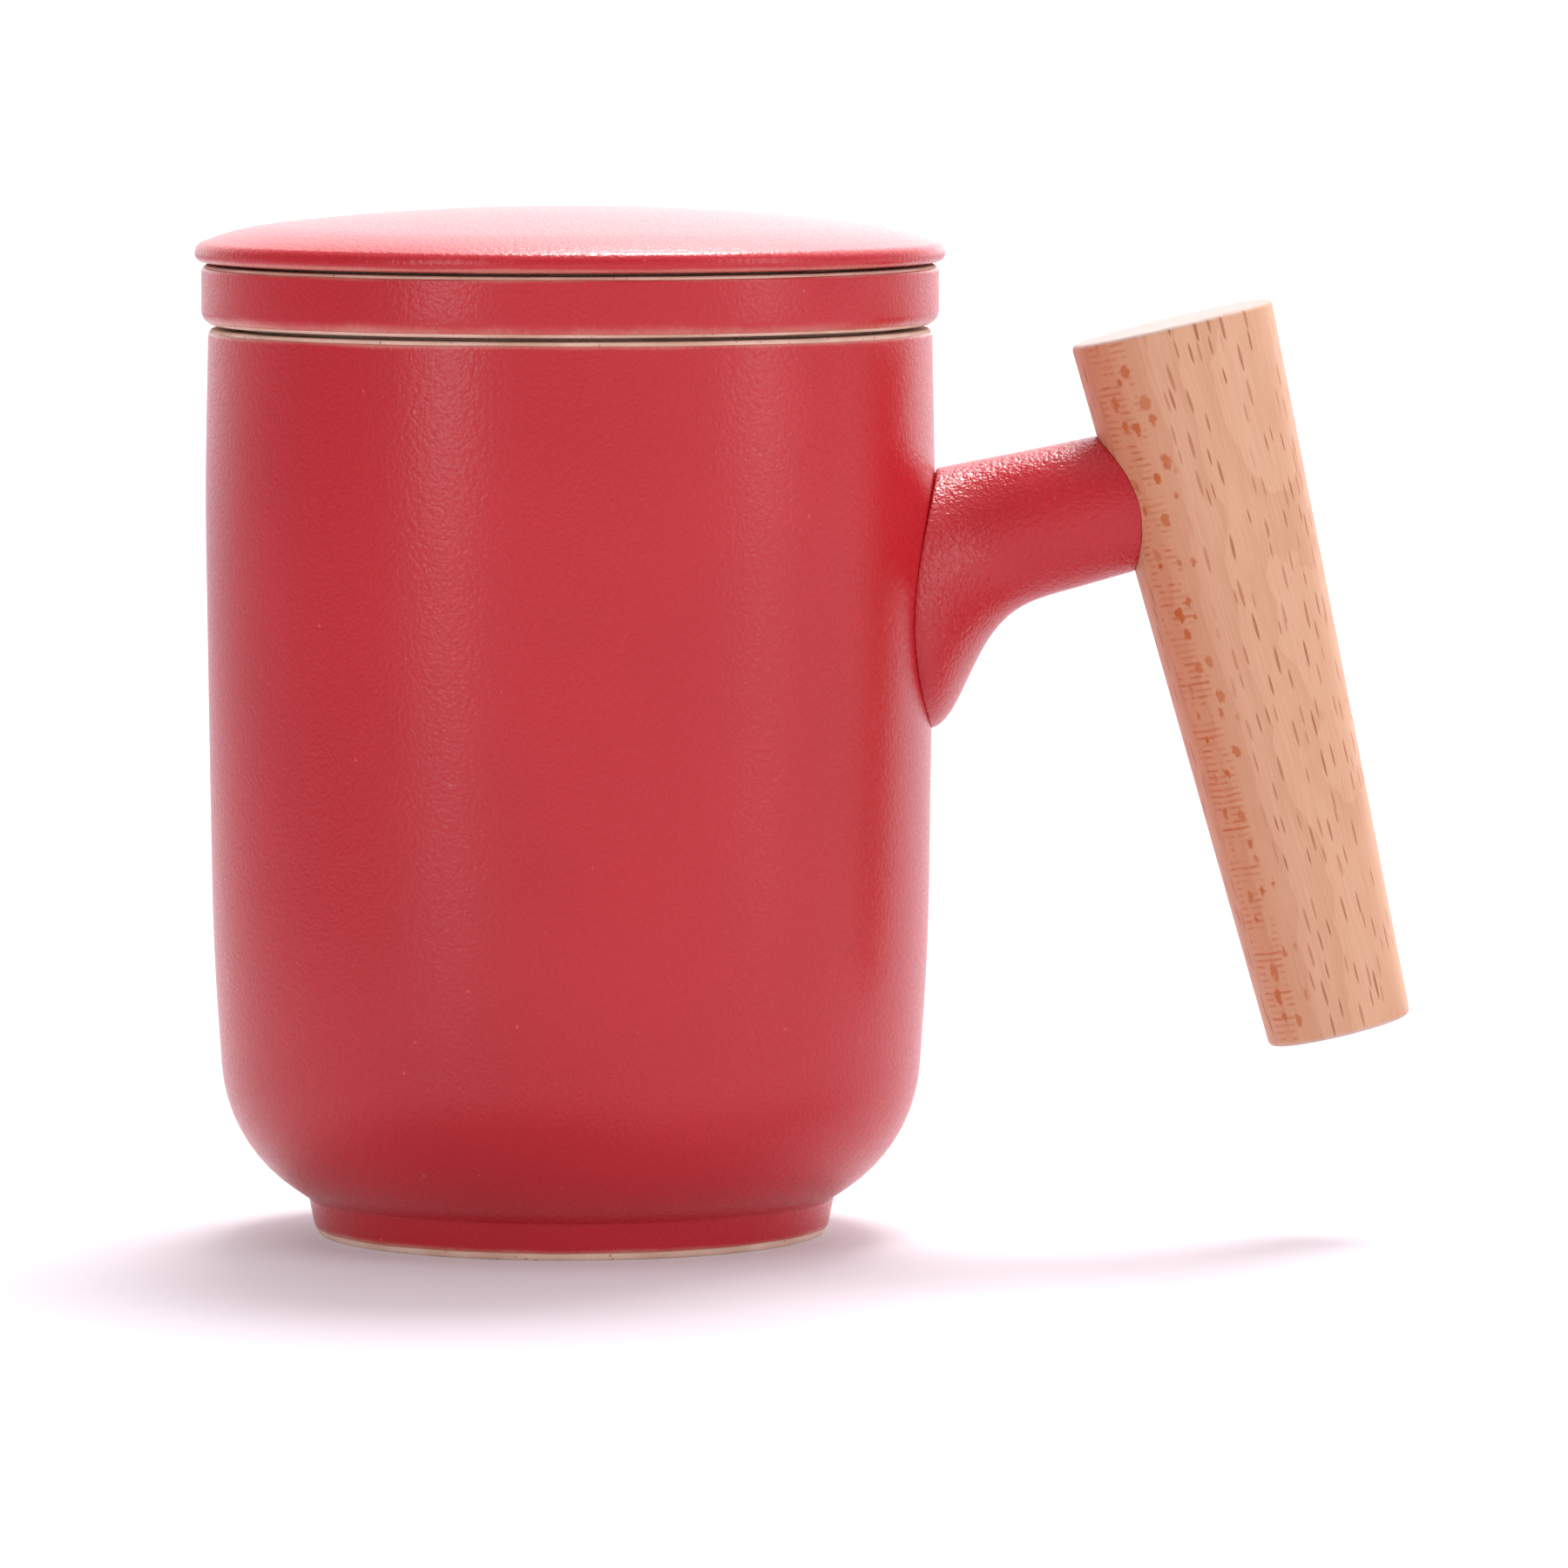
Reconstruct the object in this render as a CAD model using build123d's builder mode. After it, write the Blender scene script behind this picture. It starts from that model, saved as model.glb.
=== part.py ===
from build123d import *
import os
from math import asin, atan2, cos, degrees, hypot, pi, radians, sin, tan

# A lidded tea mug: a stoneware cup, a strainer that hangs in its mouth, a low lid, and a turned wooden
# grip glued to a stoneware stem. Millimetres, +Z up. The origin is the centre of the foot, on the table,
# and the handle points to +X.

# Cup, outside
rim_height = 106.4
rim_radius = 42.45
rim_rounding = 0.6
belly_radius = 42.84
belly_below_rim = 19.15
belly_rounding = 400.0
waist_radius = 42.07
waist_height = 33.85
waist_rounding = 300.0
shoulder_radius = 40.5
shoulder_rounding = 18.7
underside_slope = 34.1
foot_height = 4.35
foot_top_radius = 31.0
foot_radius = 30.1
foot_width = 4.2
foot_rounding = 0.8
recess_depth = 2.6
recess_rounding = 1.5

# Cup, inside
cup_wall = 4.0
cup_floor = 5.0
cavity_rounding = 13.0
mouth_rounding = 1.0

# Strainer: a collar that rests on the rim, and a basket that hangs from it
collar_overhang = 0.8
collar_height = 7.45
collar_lower_rounding = 2.0
collar_upper_rounding = 0.7
collar_mouth_rounding = 1.0
basket_clearance = 1.0
basket_draft = 3.0
basket_wall = 3.0
basket_floor = 3.5
basket_rounding = 7.0
basket_inner_rounding = 5.0
basket_above_cup_floor = 30.0
basket_plain_band = 34.0
perforation_diameter = 2.4
floor_ring_pitch = 7.0
floor_ring_step = 6
wall_row_pitch = 7.0
wall_hole_spacing = 8.9

# Lid: a dome that turns down at a shoulder into a round edge, over a ring that keeps it centred
lid_overhang = 0.75
lid_edge_radius = 1.4
lid_edge_slope = 22.0
lid_shoulder_width = 7.7
lid_dome_radius = 300.0
lid_wall = 4.0
lid_ring_clearance = 0.8
lid_ring_depth = 5.0
lid_ring_width = 3.0
lid_ring_rounding = 0.8

# Grip: a tapered round bar that leans in towards the cup at its top
grip_length = 85.7
grip_top_radius = 12.05
grip_bottom_radius = 8.5
grip_end_rounding = 0.7
grip_lean = 13.55
grip_above_joint = 19.2
joint_beyond_belly = 32.05
joint_below_rim = 17.95

# Stem: an oval bar, square to the grip, that flares down and sideways into the cup's wall
stem_half_height = 8.3
stem_half_width = 7.3
stem_taper = 2.0
flare_drop = 11.4
flare_spread = 6.3
flare_length = 19.5
flare_past_wall = 5.4
flare_lateness = 1.7
stem_root_depth = 8.0
stem_sections = 18

# Glued joint: a round tenon on the stem, in a blind mortise in the grip
tenon_radius = 4.5
tenon_length = 13.0
glue_film = 0.3
glue_end_gap = 0.6

# Heights and radii that follow from the sizes above
belly_height = rim_height - belly_below_rim
shoulder_height = foot_height + (shoulder_radius - foot_top_radius) * tan(radians(underside_slope))
cavity_bottom = recess_depth + cup_floor
mouth_radius = rim_radius - cup_wall
collar_radius = rim_radius + collar_overhang
collar_top = rim_height + collar_height
lid_radius = collar_radius + lid_overhang
basket_bottom = cavity_bottom + basket_above_cup_floor
draft_slope = tan(radians(basket_draft))

# The basket passes the mouth, the belly and the waist: the tightest of them sets how wide it may start
room_at_belly = belly_radius - cup_wall + belly_below_rim * draft_slope
room_at_waist = waist_radius - cup_wall + (rim_height - waist_height) * draft_slope
basket_top_radius = min(mouth_radius, room_at_belly, room_at_waist) - basket_clearance


def runs_beside(corners, place):
    """Gives the two runs that leave a corner of a closed outline, each as a (radius, height) step."""
    here = corners[place]
    before = corners[place - 1]
    after = corners[(place + 1) % len(corners)]
    return [(end[0] - here[0], end[1] - here[1]) for end in (before, after)]


def points_of(corners):
    """Gives the bare points of an outline whose corners are (radius, height, rounding)."""
    return [(radius, height) for radius, height, rounding in corners]


def roundings_of(corners):
    """Gives each corner's rounding, no larger than the shorter run beside it has room for."""
    largest_share = 0.48
    fitted = []
    for place, (radius, height, rounding) in enumerate(corners):
        first, second = runs_beside(corners, place)
        angle = abs(atan2(first[1], first[0]) - atan2(second[1], second[0]))
        inside_angle = min(angle, 2 * pi - angle)
        room = largest_share * min(hypot(*first), hypot(*second)) * tan(inside_angle / 2)
        fitted.append(min(rounding, room))
    return fitted


# Cup: foot, underside, wall and rim in one turned outline, then down the inside to the floor
cup_outside = [
    (foot_radius, 0, foot_rounding),
    (foot_top_radius, foot_height, 0),
    (shoulder_radius, shoulder_height, shoulder_rounding),
    (waist_radius, waist_height, waist_rounding),
    (belly_radius, belly_height, belly_rounding),
    (rim_radius, rim_height, rim_rounding),
]
cup_inside = [
    (mouth_radius, rim_height, mouth_rounding),
    (belly_radius - cup_wall, belly_height, belly_rounding),
    (waist_radius - cup_wall, waist_height, waist_rounding),
    (shoulder_radius - cup_wall, cavity_bottom, cavity_rounding),
    (0, cavity_bottom, 0),
]
cup_underneath = [
    (0, recess_depth, 0),
    (foot_radius - foot_width, recess_depth, recess_rounding),
    (foot_radius - foot_width, 0, foot_rounding),
]
cup_outline = cup_outside + cup_inside + cup_underneath

with BuildPart() as mug_body:
    with BuildSketch(Plane.XZ):
        with BuildLine():
            FilletPolyline(*points_of(cup_outline), radius=roundings_of(cup_outline), close=True)
        make_face()
    revolve(axis=Axis.Z)

# The cup's outside as one filled form, to which the stem's root is cut
cup_envelope_outline = cup_outside + [(0, rim_height, 0), (0, 0, 0)]

with BuildPart() as cup_envelope:
    with BuildSketch(Plane.XZ):
        with BuildLine():
            FilletPolyline(
                *points_of(cup_envelope_outline), radius=roundings_of(cup_envelope_outline), close=True
            )
        make_face()
    revolve(axis=Axis.Z)


# Strainer
def basket_radius(height):
    """Gives the basket's outer radius at a height: it narrows downwards by its draft."""
    return basket_top_radius - (rim_height - height) * draft_slope


basket_floor_top = basket_bottom + basket_floor
strainer_outline = [
    (0, basket_bottom, 0),
    (basket_radius(basket_bottom), basket_bottom, basket_rounding),
    (basket_top_radius, rim_height, 0),
    (collar_radius, rim_height, collar_lower_rounding),
    (collar_radius, collar_top, collar_upper_rounding),
    (basket_top_radius - basket_wall, collar_top, collar_mouth_rounding),
    (basket_top_radius - basket_wall, rim_height, 0),
    (basket_radius(basket_floor_top) - basket_wall, basket_floor_top, basket_inner_rounding),
    (0, basket_floor_top, 0),
]

# Perforations: rings of holes in the floor, and staggered rows in the wall below the plain band
perforation_radius = perforation_diameter / 2
floor_hole_reach = basket_radius(basket_bottom) - basket_rounding - perforation_diameter
floor_rings = int(floor_hole_reach / floor_ring_pitch)
first_row = basket_floor_top + basket_inner_rounding + perforation_radius
last_row = rim_height - basket_plain_band
wall_rows = int((last_row - first_row) / wall_row_pitch) + 1
row_holes = int(2 * pi * basket_radius(first_row) / wall_hole_spacing)
wall_drill_length = 3 * basket_wall

with BuildPart() as infuser:
    with BuildSketch(Plane.XZ):
        with BuildLine():
            FilletPolyline(*points_of(strainer_outline), radius=roundings_of(strainer_outline), close=True)
        make_face()
    revolve(axis=Axis.Z)
    with BuildSketch(Plane.XY.offset(basket_bottom)):
        Circle(perforation_radius)
        for ring in range(1, floor_rings + 1):
            with PolarLocations(ring * floor_ring_pitch, ring * floor_ring_step):
                Circle(perforation_radius)
    extrude(amount=basket_floor, mode=Mode.SUBTRACT)
    for row in range(wall_rows):
        row_height = first_row + row * wall_row_pitch
        stagger = (row % 2) * 180 / row_holes
        with Locations((0, 0, row_height)):
            with PolarLocations(basket_radius(row_height) - basket_wall / 2, row_holes, stagger):
                Cylinder(perforation_radius, wall_drill_length, rotation=(0, 90, 0), mode=Mode.SUBTRACT)

# Lid: the dome, shoulder and edge run into each other without a corner
lid_ring_radius = basket_top_radius - basket_wall - lid_ring_clearance
lid_ring_inner_radius = lid_ring_radius - lid_ring_width
edge_radius = lid_radius - lid_edge_radius * (1 - sin(radians(lid_edge_slope)))
edge_top = collar_top + lid_edge_radius * (1 + cos(radians(lid_edge_slope)))
edge_direction = (cos(radians(lid_edge_slope)), -sin(radians(lid_edge_slope)))
dome_angle = degrees(asin((edge_radius - lid_shoulder_width) / lid_dome_radius))
shoulder_rise = lid_shoulder_width * tan(radians((dome_angle + lid_edge_slope) / 2))
lid_top = edge_top + shoulder_rise + lid_dome_radius * (1 - cos(radians(dome_angle)))
under_dome_radius = lid_dome_radius - lid_wall
under_dome_angle = degrees(asin(lid_ring_inner_radius / under_dome_radius))

with BuildPart() as lid:
    with BuildSketch(Plane.XZ):
        with BuildLine():
            dome = JernArc((0, lid_top), (1, 0), lid_dome_radius, -dome_angle)
            shoulder = Spline(dome @ 1, (edge_radius, edge_top), tangents=(dome % 1, edge_direction))
            edge = JernArc(shoulder @ 1, shoulder % 1, lid_edge_radius, lid_edge_slope - 180)
            under_dome = JernArc((0, lid_top - lid_wall), (1, 0), under_dome_radius, -under_dome_angle)
            FilletPolyline(
                edge @ 1,
                (lid_ring_radius, collar_top),
                (lid_ring_radius, collar_top - lid_ring_depth),
                (lid_ring_inner_radius, collar_top - lid_ring_depth),
                under_dome @ 1,
                radius=[0, lid_ring_rounding, lid_ring_rounding],
            )
            Line(under_dome @ 0, dome @ 0)
        make_face()
    revolve(axis=Axis.Z)

# Handle frame: the stem's axis crosses the grip's axis at right angles at the joint
along_stem = Vector(cos(radians(grip_lean)), 0, sin(radians(grip_lean)))
along_grip = Vector(-sin(radians(grip_lean)), 0, cos(radians(grip_lean)))
joint = Vector(belly_radius + joint_beyond_belly, 0, rim_height - joint_below_rim)
grip_plane = Plane(origin=joint, x_dir=along_stem, z_dir=(0, -1, 0))
stem_plane = Plane(origin=joint, x_dir=(0, 1, 0), z_dir=along_stem)
grip_below_joint = grip_length - grip_above_joint
grip_thickening = (grip_top_radius - grip_bottom_radius) / grip_length
joint_radius = grip_bottom_radius + grip_below_joint * grip_thickening
mortise_radius = tenon_radius + glue_film
tenon_end = tenon_length - joint_radius
tenon_root = tenon_length + tenon_radius
mortise_end = tenon_end + glue_end_gap
mouth_overrun = 2 * joint_radius

# The grip before its mortise is bored, to which the stem's end is cut
grip_outline = [
    (0, -grip_below_joint, 0),
    (grip_bottom_radius, -grip_below_joint, grip_end_rounding),
    (grip_top_radius, grip_above_joint, grip_end_rounding),
    (0, grip_above_joint, 0),
]

with BuildPart() as grip_blank:
    with BuildSketch(grip_plane):
        with BuildLine():
            FilletPolyline(*points_of(grip_outline), radius=roundings_of(grip_outline), close=True)
        make_face()
    revolve(axis=Axis(joint, along_grip))

with BuildPart() as handle_grip:
    add(grip_blank.part)
    with BuildSketch(stem_plane.offset(mortise_end)):
        Circle(mortise_radius)
    extrude(amount=-mouth_overrun, mode=Mode.SUBTRACT)

# Stem: places are measured along its axis from the joint, so towards the cup they are negative
wall_crossing = -joint_beyond_belly / cos(radians(grip_lean))
flare_end = wall_crossing - flare_past_wall
flare_start = flare_end + flare_length
stem_step = (flare_end - stem_root_depth) / (stem_sections - 1)
quarter_turn = 90


def flare_share(place):
    """Gives how far the flare has opened at a place, from 0 at its start to 1 at its end."""
    share = (flare_start - place) / flare_length
    return sin(pi / 2 * min(max(share, 0), 1) ** flare_lateness) ** 2


with BuildPart() as handle_stem:
    for number in range(stem_sections):
        place = number * stem_step
        thickening = (-joint_radius - place) * tan(radians(stem_taper))
        drop = flare_drop * flare_share(place)
        half_height = stem_half_height + thickening + drop / 2
        half_width = stem_half_width + thickening + flare_spread * flare_share(place)
        with BuildSketch(stem_plane.offset(place)):
            with BuildLine():
                for quarter in range(4):
                    EllipticalCenterArc(
                        (0, -drop / 2),
                        half_width,
                        half_height,
                        start_angle=(quarter + 0.5) * quarter_turn,
                        arc_size=quarter_turn,
                    )
            make_face()
    loft()
    add(grip_blank.part, mode=Mode.SUBTRACT)
    add(cup_envelope.part, mode=Mode.SUBTRACT)
    with BuildSketch(stem_plane.offset(tenon_end)):
        Circle(tenon_radius)
    extrude(amount=-tenon_root)

# Glue: what fills the mortise around and beyond the tenon
with BuildPart() as handle_adhesive:
    with BuildSketch(stem_plane.offset(mortise_end)):
        Circle(mortise_radius)
    extrude(amount=-mouth_overrun)
    add(grip_blank.part, mode=Mode.INTERSECT)
    with BuildSketch(stem_plane.offset(tenon_end)):
        Circle(tenon_radius)
    extrude(amount=-mouth_overrun, mode=Mode.SUBTRACT)

mug_body.part.label = "mug_body"
infuser.part.label = "infuser"
lid.part.label = "lid"
handle_stem.part.label = "handle_stem"
handle_grip.part.label = "handle_grip"
handle_adhesive.part.label = "handle_adhesive"

os.makedirs("parts", exist_ok=True)
export_step(mug_body.part, "parts/mug_body.step")
export_step(infuser.part, "parts/infuser.step")
export_step(lid.part, "parts/lid.step")
export_step(handle_stem.part, "parts/handle_stem.step")
export_step(handle_grip.part, "parts/handle_grip.step")
export_step(handle_adhesive.part, "parts/handle_adhesive.step")
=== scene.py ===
"""The looks of a lidded tea mug: red glazed stoneware, a pierced strainer and a turned beech grip."""

import logging
import math
from dataclasses import dataclass, field
from enum import Enum
from functools import partial
from typing import Any, Callable, Sequence

import bpy
import numpy as np
from mathutils import Matrix, Vector


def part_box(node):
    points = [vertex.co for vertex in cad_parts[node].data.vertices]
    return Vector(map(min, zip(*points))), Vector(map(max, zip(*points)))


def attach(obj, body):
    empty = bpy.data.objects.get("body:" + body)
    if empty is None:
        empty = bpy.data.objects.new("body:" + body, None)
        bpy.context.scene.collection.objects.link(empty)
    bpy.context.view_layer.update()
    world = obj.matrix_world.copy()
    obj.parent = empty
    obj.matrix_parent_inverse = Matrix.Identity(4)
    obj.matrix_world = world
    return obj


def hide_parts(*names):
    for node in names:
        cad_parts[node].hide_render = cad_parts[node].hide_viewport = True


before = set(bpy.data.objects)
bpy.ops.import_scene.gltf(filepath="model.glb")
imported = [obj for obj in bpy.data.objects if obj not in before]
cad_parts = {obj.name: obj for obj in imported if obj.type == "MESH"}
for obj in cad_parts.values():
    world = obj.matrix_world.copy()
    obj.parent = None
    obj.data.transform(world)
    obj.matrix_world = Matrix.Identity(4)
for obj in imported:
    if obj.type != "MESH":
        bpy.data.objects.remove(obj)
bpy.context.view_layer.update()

MM = 0.001
PER_METRE = 1000.0
log = logging.getLogger("tea_mug")

Colour = tuple[float, float, float, float]
Place = tuple[float, float, float]
Point = tuple[float, float]
Span = tuple[float, float]
Ring = list[int]


def top_of(node: str) -> float:
    """Gives the height of a node's highest point, in millimetres."""
    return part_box(node)[1].z / MM


def bottom_of(node: str) -> float:
    """Gives the height of a node's lowest point, in millimetres."""
    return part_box(node)[0].z / MM


def reach_of(node: str) -> float:
    """Gives a turned node's largest radius about the mug's axis, in millimetres."""
    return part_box(node)[1].y / MM


def add_object(name: str, data: bpy.types.ID) -> bpy.types.Object:
    """Adds an object to the scene.

    Args:
        name: The object's name.
        data: Its mesh, light or camera.

    Returns:
        The new object.
    """
    made = bpy.data.objects.new(name, data)
    bpy.context.scene.collection.objects.link(made)
    return made


class Surface(Enum):
    """The finishes that a stoneware piece shows, numbered as its material slots."""

    GLAZE = 0
    CLAY = 1
    LINER = 2


class Value:
    """A number, vector or colour that varies over a surface. Arithmetic on a number adds Math nodes."""

    def __init__(self, graph: "Graph", socket: bpy.types.NodeSocket) -> None:
        """Wraps an output socket of a graph."""
        self.graph = graph
        self.socket = socket

    def other(self, name: str) -> "Value":
        """Gives another output of the node that this value comes from."""
        return Value(self.graph, self.socket.node.outputs[name])

    def __add__(self, term: "Number") -> "Value":
        """Adds a number."""
        return self.graph.math("ADD", self, term)

    __radd__ = __add__

    def __sub__(self, term: "Number") -> "Value":
        """Takes a number away."""
        return self.graph.math("SUBTRACT", self, term)

    def __rsub__(self, whole: "Number") -> "Value":
        """Takes this value away from a number."""
        return self.graph.math("SUBTRACT", whole, self)

    def __mul__(self, factor: "Number") -> "Value":
        """Multiplies by a number."""
        return self.graph.math("MULTIPLY", self, factor)

    __rmul__ = __mul__


Number = float | Value


class Graph:
    """A node tree and the few ways in which nodes are added to it."""

    def __init__(self, tree: bpy.types.NodeTree) -> None:
        """Starts from an emptied tree."""
        tree.nodes.clear()
        self.tree = tree

    def add(
        self,
        kind: str,
        settings: dict[str, Any] | None = None,
        inputs: dict[str | int, Any] | None = None,
        output: str | int = 0,
    ) -> Value | None:
        """Adds a node.

        Args:
            kind: The node's type.
            settings: The node's own properties, set first.
            inputs: Values or links of its sockets, by name or number.
            output: Which output to give back.

        Returns:
            That output, or None for a node that has none.
        """
        node = self.tree.nodes.new(kind)
        for name, setting in (settings or {}).items():
            setattr(node, name, setting)
        for name, given in (inputs or {}).items():
            if isinstance(given, Value):
                self.tree.links.new(given.socket, node.inputs[name])
            else:
                node.inputs[name].default_value = given
        return Value(self, node.outputs[output]) if node.outputs else None

    def math(self, operation: str, first: Number, second: Number = 0.0) -> Value:
        """Adds a Math node on one or two numbers."""
        return self.add("ShaderNodeMath", {"operation": operation}, {0: first, 1: second})

    def part(self, place: Value, axis: str) -> Value:
        """Gives one coordinate of a vector."""
        return self.add("ShaderNodeSeparateXYZ", None, {"Vector": place}, axis)

    def stretch(self, place: Value, factors: Place) -> Value:
        """Multiplies a vector by three factors."""
        return self.add("ShaderNodeVectorMath", {"operation": "MULTIPLY"}, {0: place, 1: factors})

    def in_cells(self, sheet: Value, cell: Point) -> Value:
        """Gives a point on a sheet in units of a cell's width and length."""
        return self.stretch(sheet, (1 / cell[0], 1 / cell[1], 1.0))

    def fade(self, value: Number, low: float, high: float) -> Value:
        """Gives 0 at low, 1 at high, and a smooth change between them."""
        inputs = {"Value": value, "From Min": low, "From Max": high}
        return self.add("ShaderNodeMapRange", {"interpolation_type": "SMOOTHSTEP"}, inputs)

    def noise(self, place: Value, size: float, detail: float = 2.0) -> Value:
        """Gives soft noise about 0.5, with features of a size in the units of the place."""
        inputs = {"Vector": place, "Scale": 1 / size, "Detail": detail}
        return self.add("ShaderNodeTexNoise", None, inputs)

    def cells(self, place: Value, flat: bool = False) -> Value:
        """Gives distances from the points of Voronoi cells one unit wide, in space or flat in X and Y."""
        settings = {"voronoi_dimensions": "2D" if flat else "3D"}
        return self.add("ShaderNodeTexVoronoi", settings, {"Vector": place, "Scale": 1.0})

    def specks(self, place: Value, spacing: float, size: float) -> Value:
        """Gives round specks a spacing apart, 1 in the middle, whose radius is a share of the spacing."""
        cell = self.cells(self.stretch(place, (1 / spacing,) * 3))
        return self.fade(cell, size, size / 2)

    def blend(self, share: Number, first: Colour | Value, second: Colour | Value) -> Value:
        """Mixes two colours: the first at a share of 0, the second at a share of 1."""
        return self.add("ShaderNodeMix", {"data_type": "RGBA"}, {0: share, 6: first, 7: second}, 2)

    def bump(self, height: Value, depth: float) -> Value:
        """Gives a normal for a height from 0 to 1 that stands for a depth in millimetres."""
        inputs = {"Height": height, "Strength": 1.0, "Distance": depth * MM}
        return self.add("ShaderNodeBump", None, inputs)

    def shader(self, inputs: dict[str, Any]) -> Value:
        """Adds the surface shader with the values or links of its sockets."""
        return self.add("ShaderNodeBsdfPrincipled", None, inputs)


class Finish:
    """A finish: its name and the graph that makes its material."""

    name = "finish"

    def make(self) -> bpy.types.Material:
        """Makes the finish's material from its shader.

        Returns:
            A new material with the finish's name.
        """
        material = bpy.data.materials.new(self.name)
        material.use_nodes = True
        graph = Graph(material.node_tree)
        coordinates = graph.add("ShaderNodeTexCoord", output="Object")
        place = graph.stretch(coordinates, (PER_METRE,) * 3)
        graph.add("ShaderNodeOutputMaterial", None, {"Surface": self.shade(graph, place)})
        return material

    def shade(self, graph: Graph, place: Value) -> Value:
        """Builds the surface shader from a point on the surface, in millimetres in the part's frame."""
        raise NotImplementedError


@dataclass(frozen=True)
class RedGlaze(Finish):
    """Satin red glaze: even in colour, with a fine orange-peel skin and a few pale pinholes.

    The glaze thins and shows the clay at its breaks, each given as a height and how far it reaches.
    """

    name: str = "red_glaze"
    breaks: tuple[tuple[float, float], ...] = ()
    body: Colour = (0.46, 0.0105, 0.0185, 1.0)
    deep: Colour = (0.42, 0.0085, 0.0155, 1.0)
    thin: Colour = (0.52, 0.16, 0.125, 1.0)
    fleck: Colour = (0.72, 0.16, 0.15, 1.0)
    cloud_size: float = 40.0
    cloud_fade: Span = (0.3, 0.7)
    peel_size: float = 0.55
    peel_share: float = 0.7
    peel_depth: float = 0.085
    grit_size: float = 0.3
    grit_fade: Span = (0.55, 0.8)
    grit_share: float = 0.25
    fleck_spacing: float = 4.5
    fleck_size: float = 0.05
    fleck_share: float = 0.5
    drift_size: float = 9.0
    drift_swing: float = 0.9
    drift_grain: float = 0.3
    drift_level: float = 0.6
    roughness: float = 0.275
    roughness_swing: float = 0.16
    index: float = 1.46

    def shade(self, graph: Graph, place: Value) -> Value:
        """Builds the glaze's shader.

        Args:
            graph: The graph to add nodes to.
            place: The point on the surface, in millimetres.

        Returns:
            The glaze's surface shader.
        """
        cloud = graph.noise(place, self.cloud_size, detail=3.0)
        peel = graph.noise(place, self.peel_size, detail=1.5)
        grit = graph.noise(place, self.grit_size, detail=1.0)
        flecks = graph.specks(place, self.fleck_spacing, self.fleck_size)
        colour = graph.blend(graph.fade(cloud, *self.cloud_fade), self.deep, self.body)
        colour = graph.blend(graph.fade(grit, *self.grit_fade) * self.grit_share, colour, self.deep)
        colour = graph.blend(flecks * self.fleck_share, colour, self.fleck)
        height = graph.part(place, "Z")
        drift = self.drift_swing * graph.noise(place, self.drift_size)
        drift = drift + self.drift_grain * peel - self.drift_level
        for level, reach in self.breaks:
            distance = graph.math("ABSOLUTE", height - level)
            share = graph.fade(distance + reach * drift, reach, 0.0)
            colour = graph.blend(share * share, colour, self.thin)
        skin = self.peel_share * peel + (1 - self.peel_share) * grit
        return graph.shader(
            {
                "Base Color": colour,
                "Roughness": self.roughness + self.roughness_swing * (peel - 0.5),
                "IOR": self.index,
                "Normal": graph.bump(skin, self.peel_depth),
            }
        )


@dataclass(frozen=True)
class BareClay(Finish):
    """Buff stoneware left bare: dry and sandy, with darker grog."""

    name: str = "bare_clay"
    pale: Colour = (0.74, 0.53, 0.44, 1.0)
    warm: Colour = (0.60, 0.39, 0.29, 1.0)
    grog: Colour = (0.20, 0.10, 0.06, 1.0)
    cloud_size: float = 7.0
    cloud_fade: Span = (0.3, 0.7)
    sand_size: float = 0.22
    sand_fade: Span = (0.5, 0.8)
    sand_share: float = 0.4
    sand_depth: float = 0.05
    grog_spacing: float = 1.3
    grog_size: float = 0.16
    grog_share: float = 0.6
    roughness: float = 0.9

    def shade(self, graph: Graph, place: Value) -> Value:
        """Builds the clay's shader.

        Args:
            graph: The graph to add nodes to.
            place: The point on the surface, in millimetres.

        Returns:
            The clay's surface shader.
        """
        cloud = graph.noise(place, self.cloud_size)
        sand = graph.noise(place, self.sand_size)
        specks = graph.specks(place, self.grog_spacing, self.grog_size)
        colour = graph.blend(graph.fade(cloud, *self.cloud_fade), self.warm, self.pale)
        colour = graph.blend(graph.fade(sand, *self.sand_fade) * self.sand_share, colour, self.warm)
        colour = graph.blend(specks * self.grog_share, colour, self.grog)
        return graph.shader(
            {
                "Base Color": colour,
                "Roughness": self.roughness,
                "Normal": graph.bump(sand, self.sand_depth),
            }
        )


@dataclass(frozen=True)
class LinerGlaze(Finish):
    """Glossy cream glaze on the insides, with faint warm pooling and fine specks."""

    name: str = "liner_glaze"
    cream: Colour = (0.82, 0.77, 0.68, 1.0)
    warm: Colour = (0.74, 0.66, 0.53, 1.0)
    speck: Colour = (0.36, 0.24, 0.14, 1.0)
    cloud_size: float = 18.0
    cloud_fade: Span = (0.35, 0.75)
    ripple_size: float = 3.0
    ripple_depth: float = 0.03
    speck_spacing: float = 3.2
    speck_size: float = 0.06
    speck_share: float = 0.5
    roughness: float = 0.16
    roughness_swing: float = 0.1

    def shade(self, graph: Graph, place: Value) -> Value:
        """Builds the liner's shader.

        Args:
            graph: The graph to add nodes to.
            place: The point on the surface, in millimetres.

        Returns:
            The liner's surface shader.
        """
        cloud = graph.noise(place, self.cloud_size)
        ripple = graph.noise(place, self.ripple_size)
        specks = graph.specks(place, self.speck_spacing, self.speck_size)
        colour = graph.blend(graph.fade(cloud, *self.cloud_fade), self.cream, self.warm)
        colour = graph.blend(specks * self.speck_share, colour, self.speck)
        return graph.shader(
            {
                "Base Color": colour,
                "Roughness": self.roughness + self.roughness_swing * (ripple - 0.5),
                "Normal": graph.bump(ripple, self.ripple_depth),
            }
        )


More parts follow.
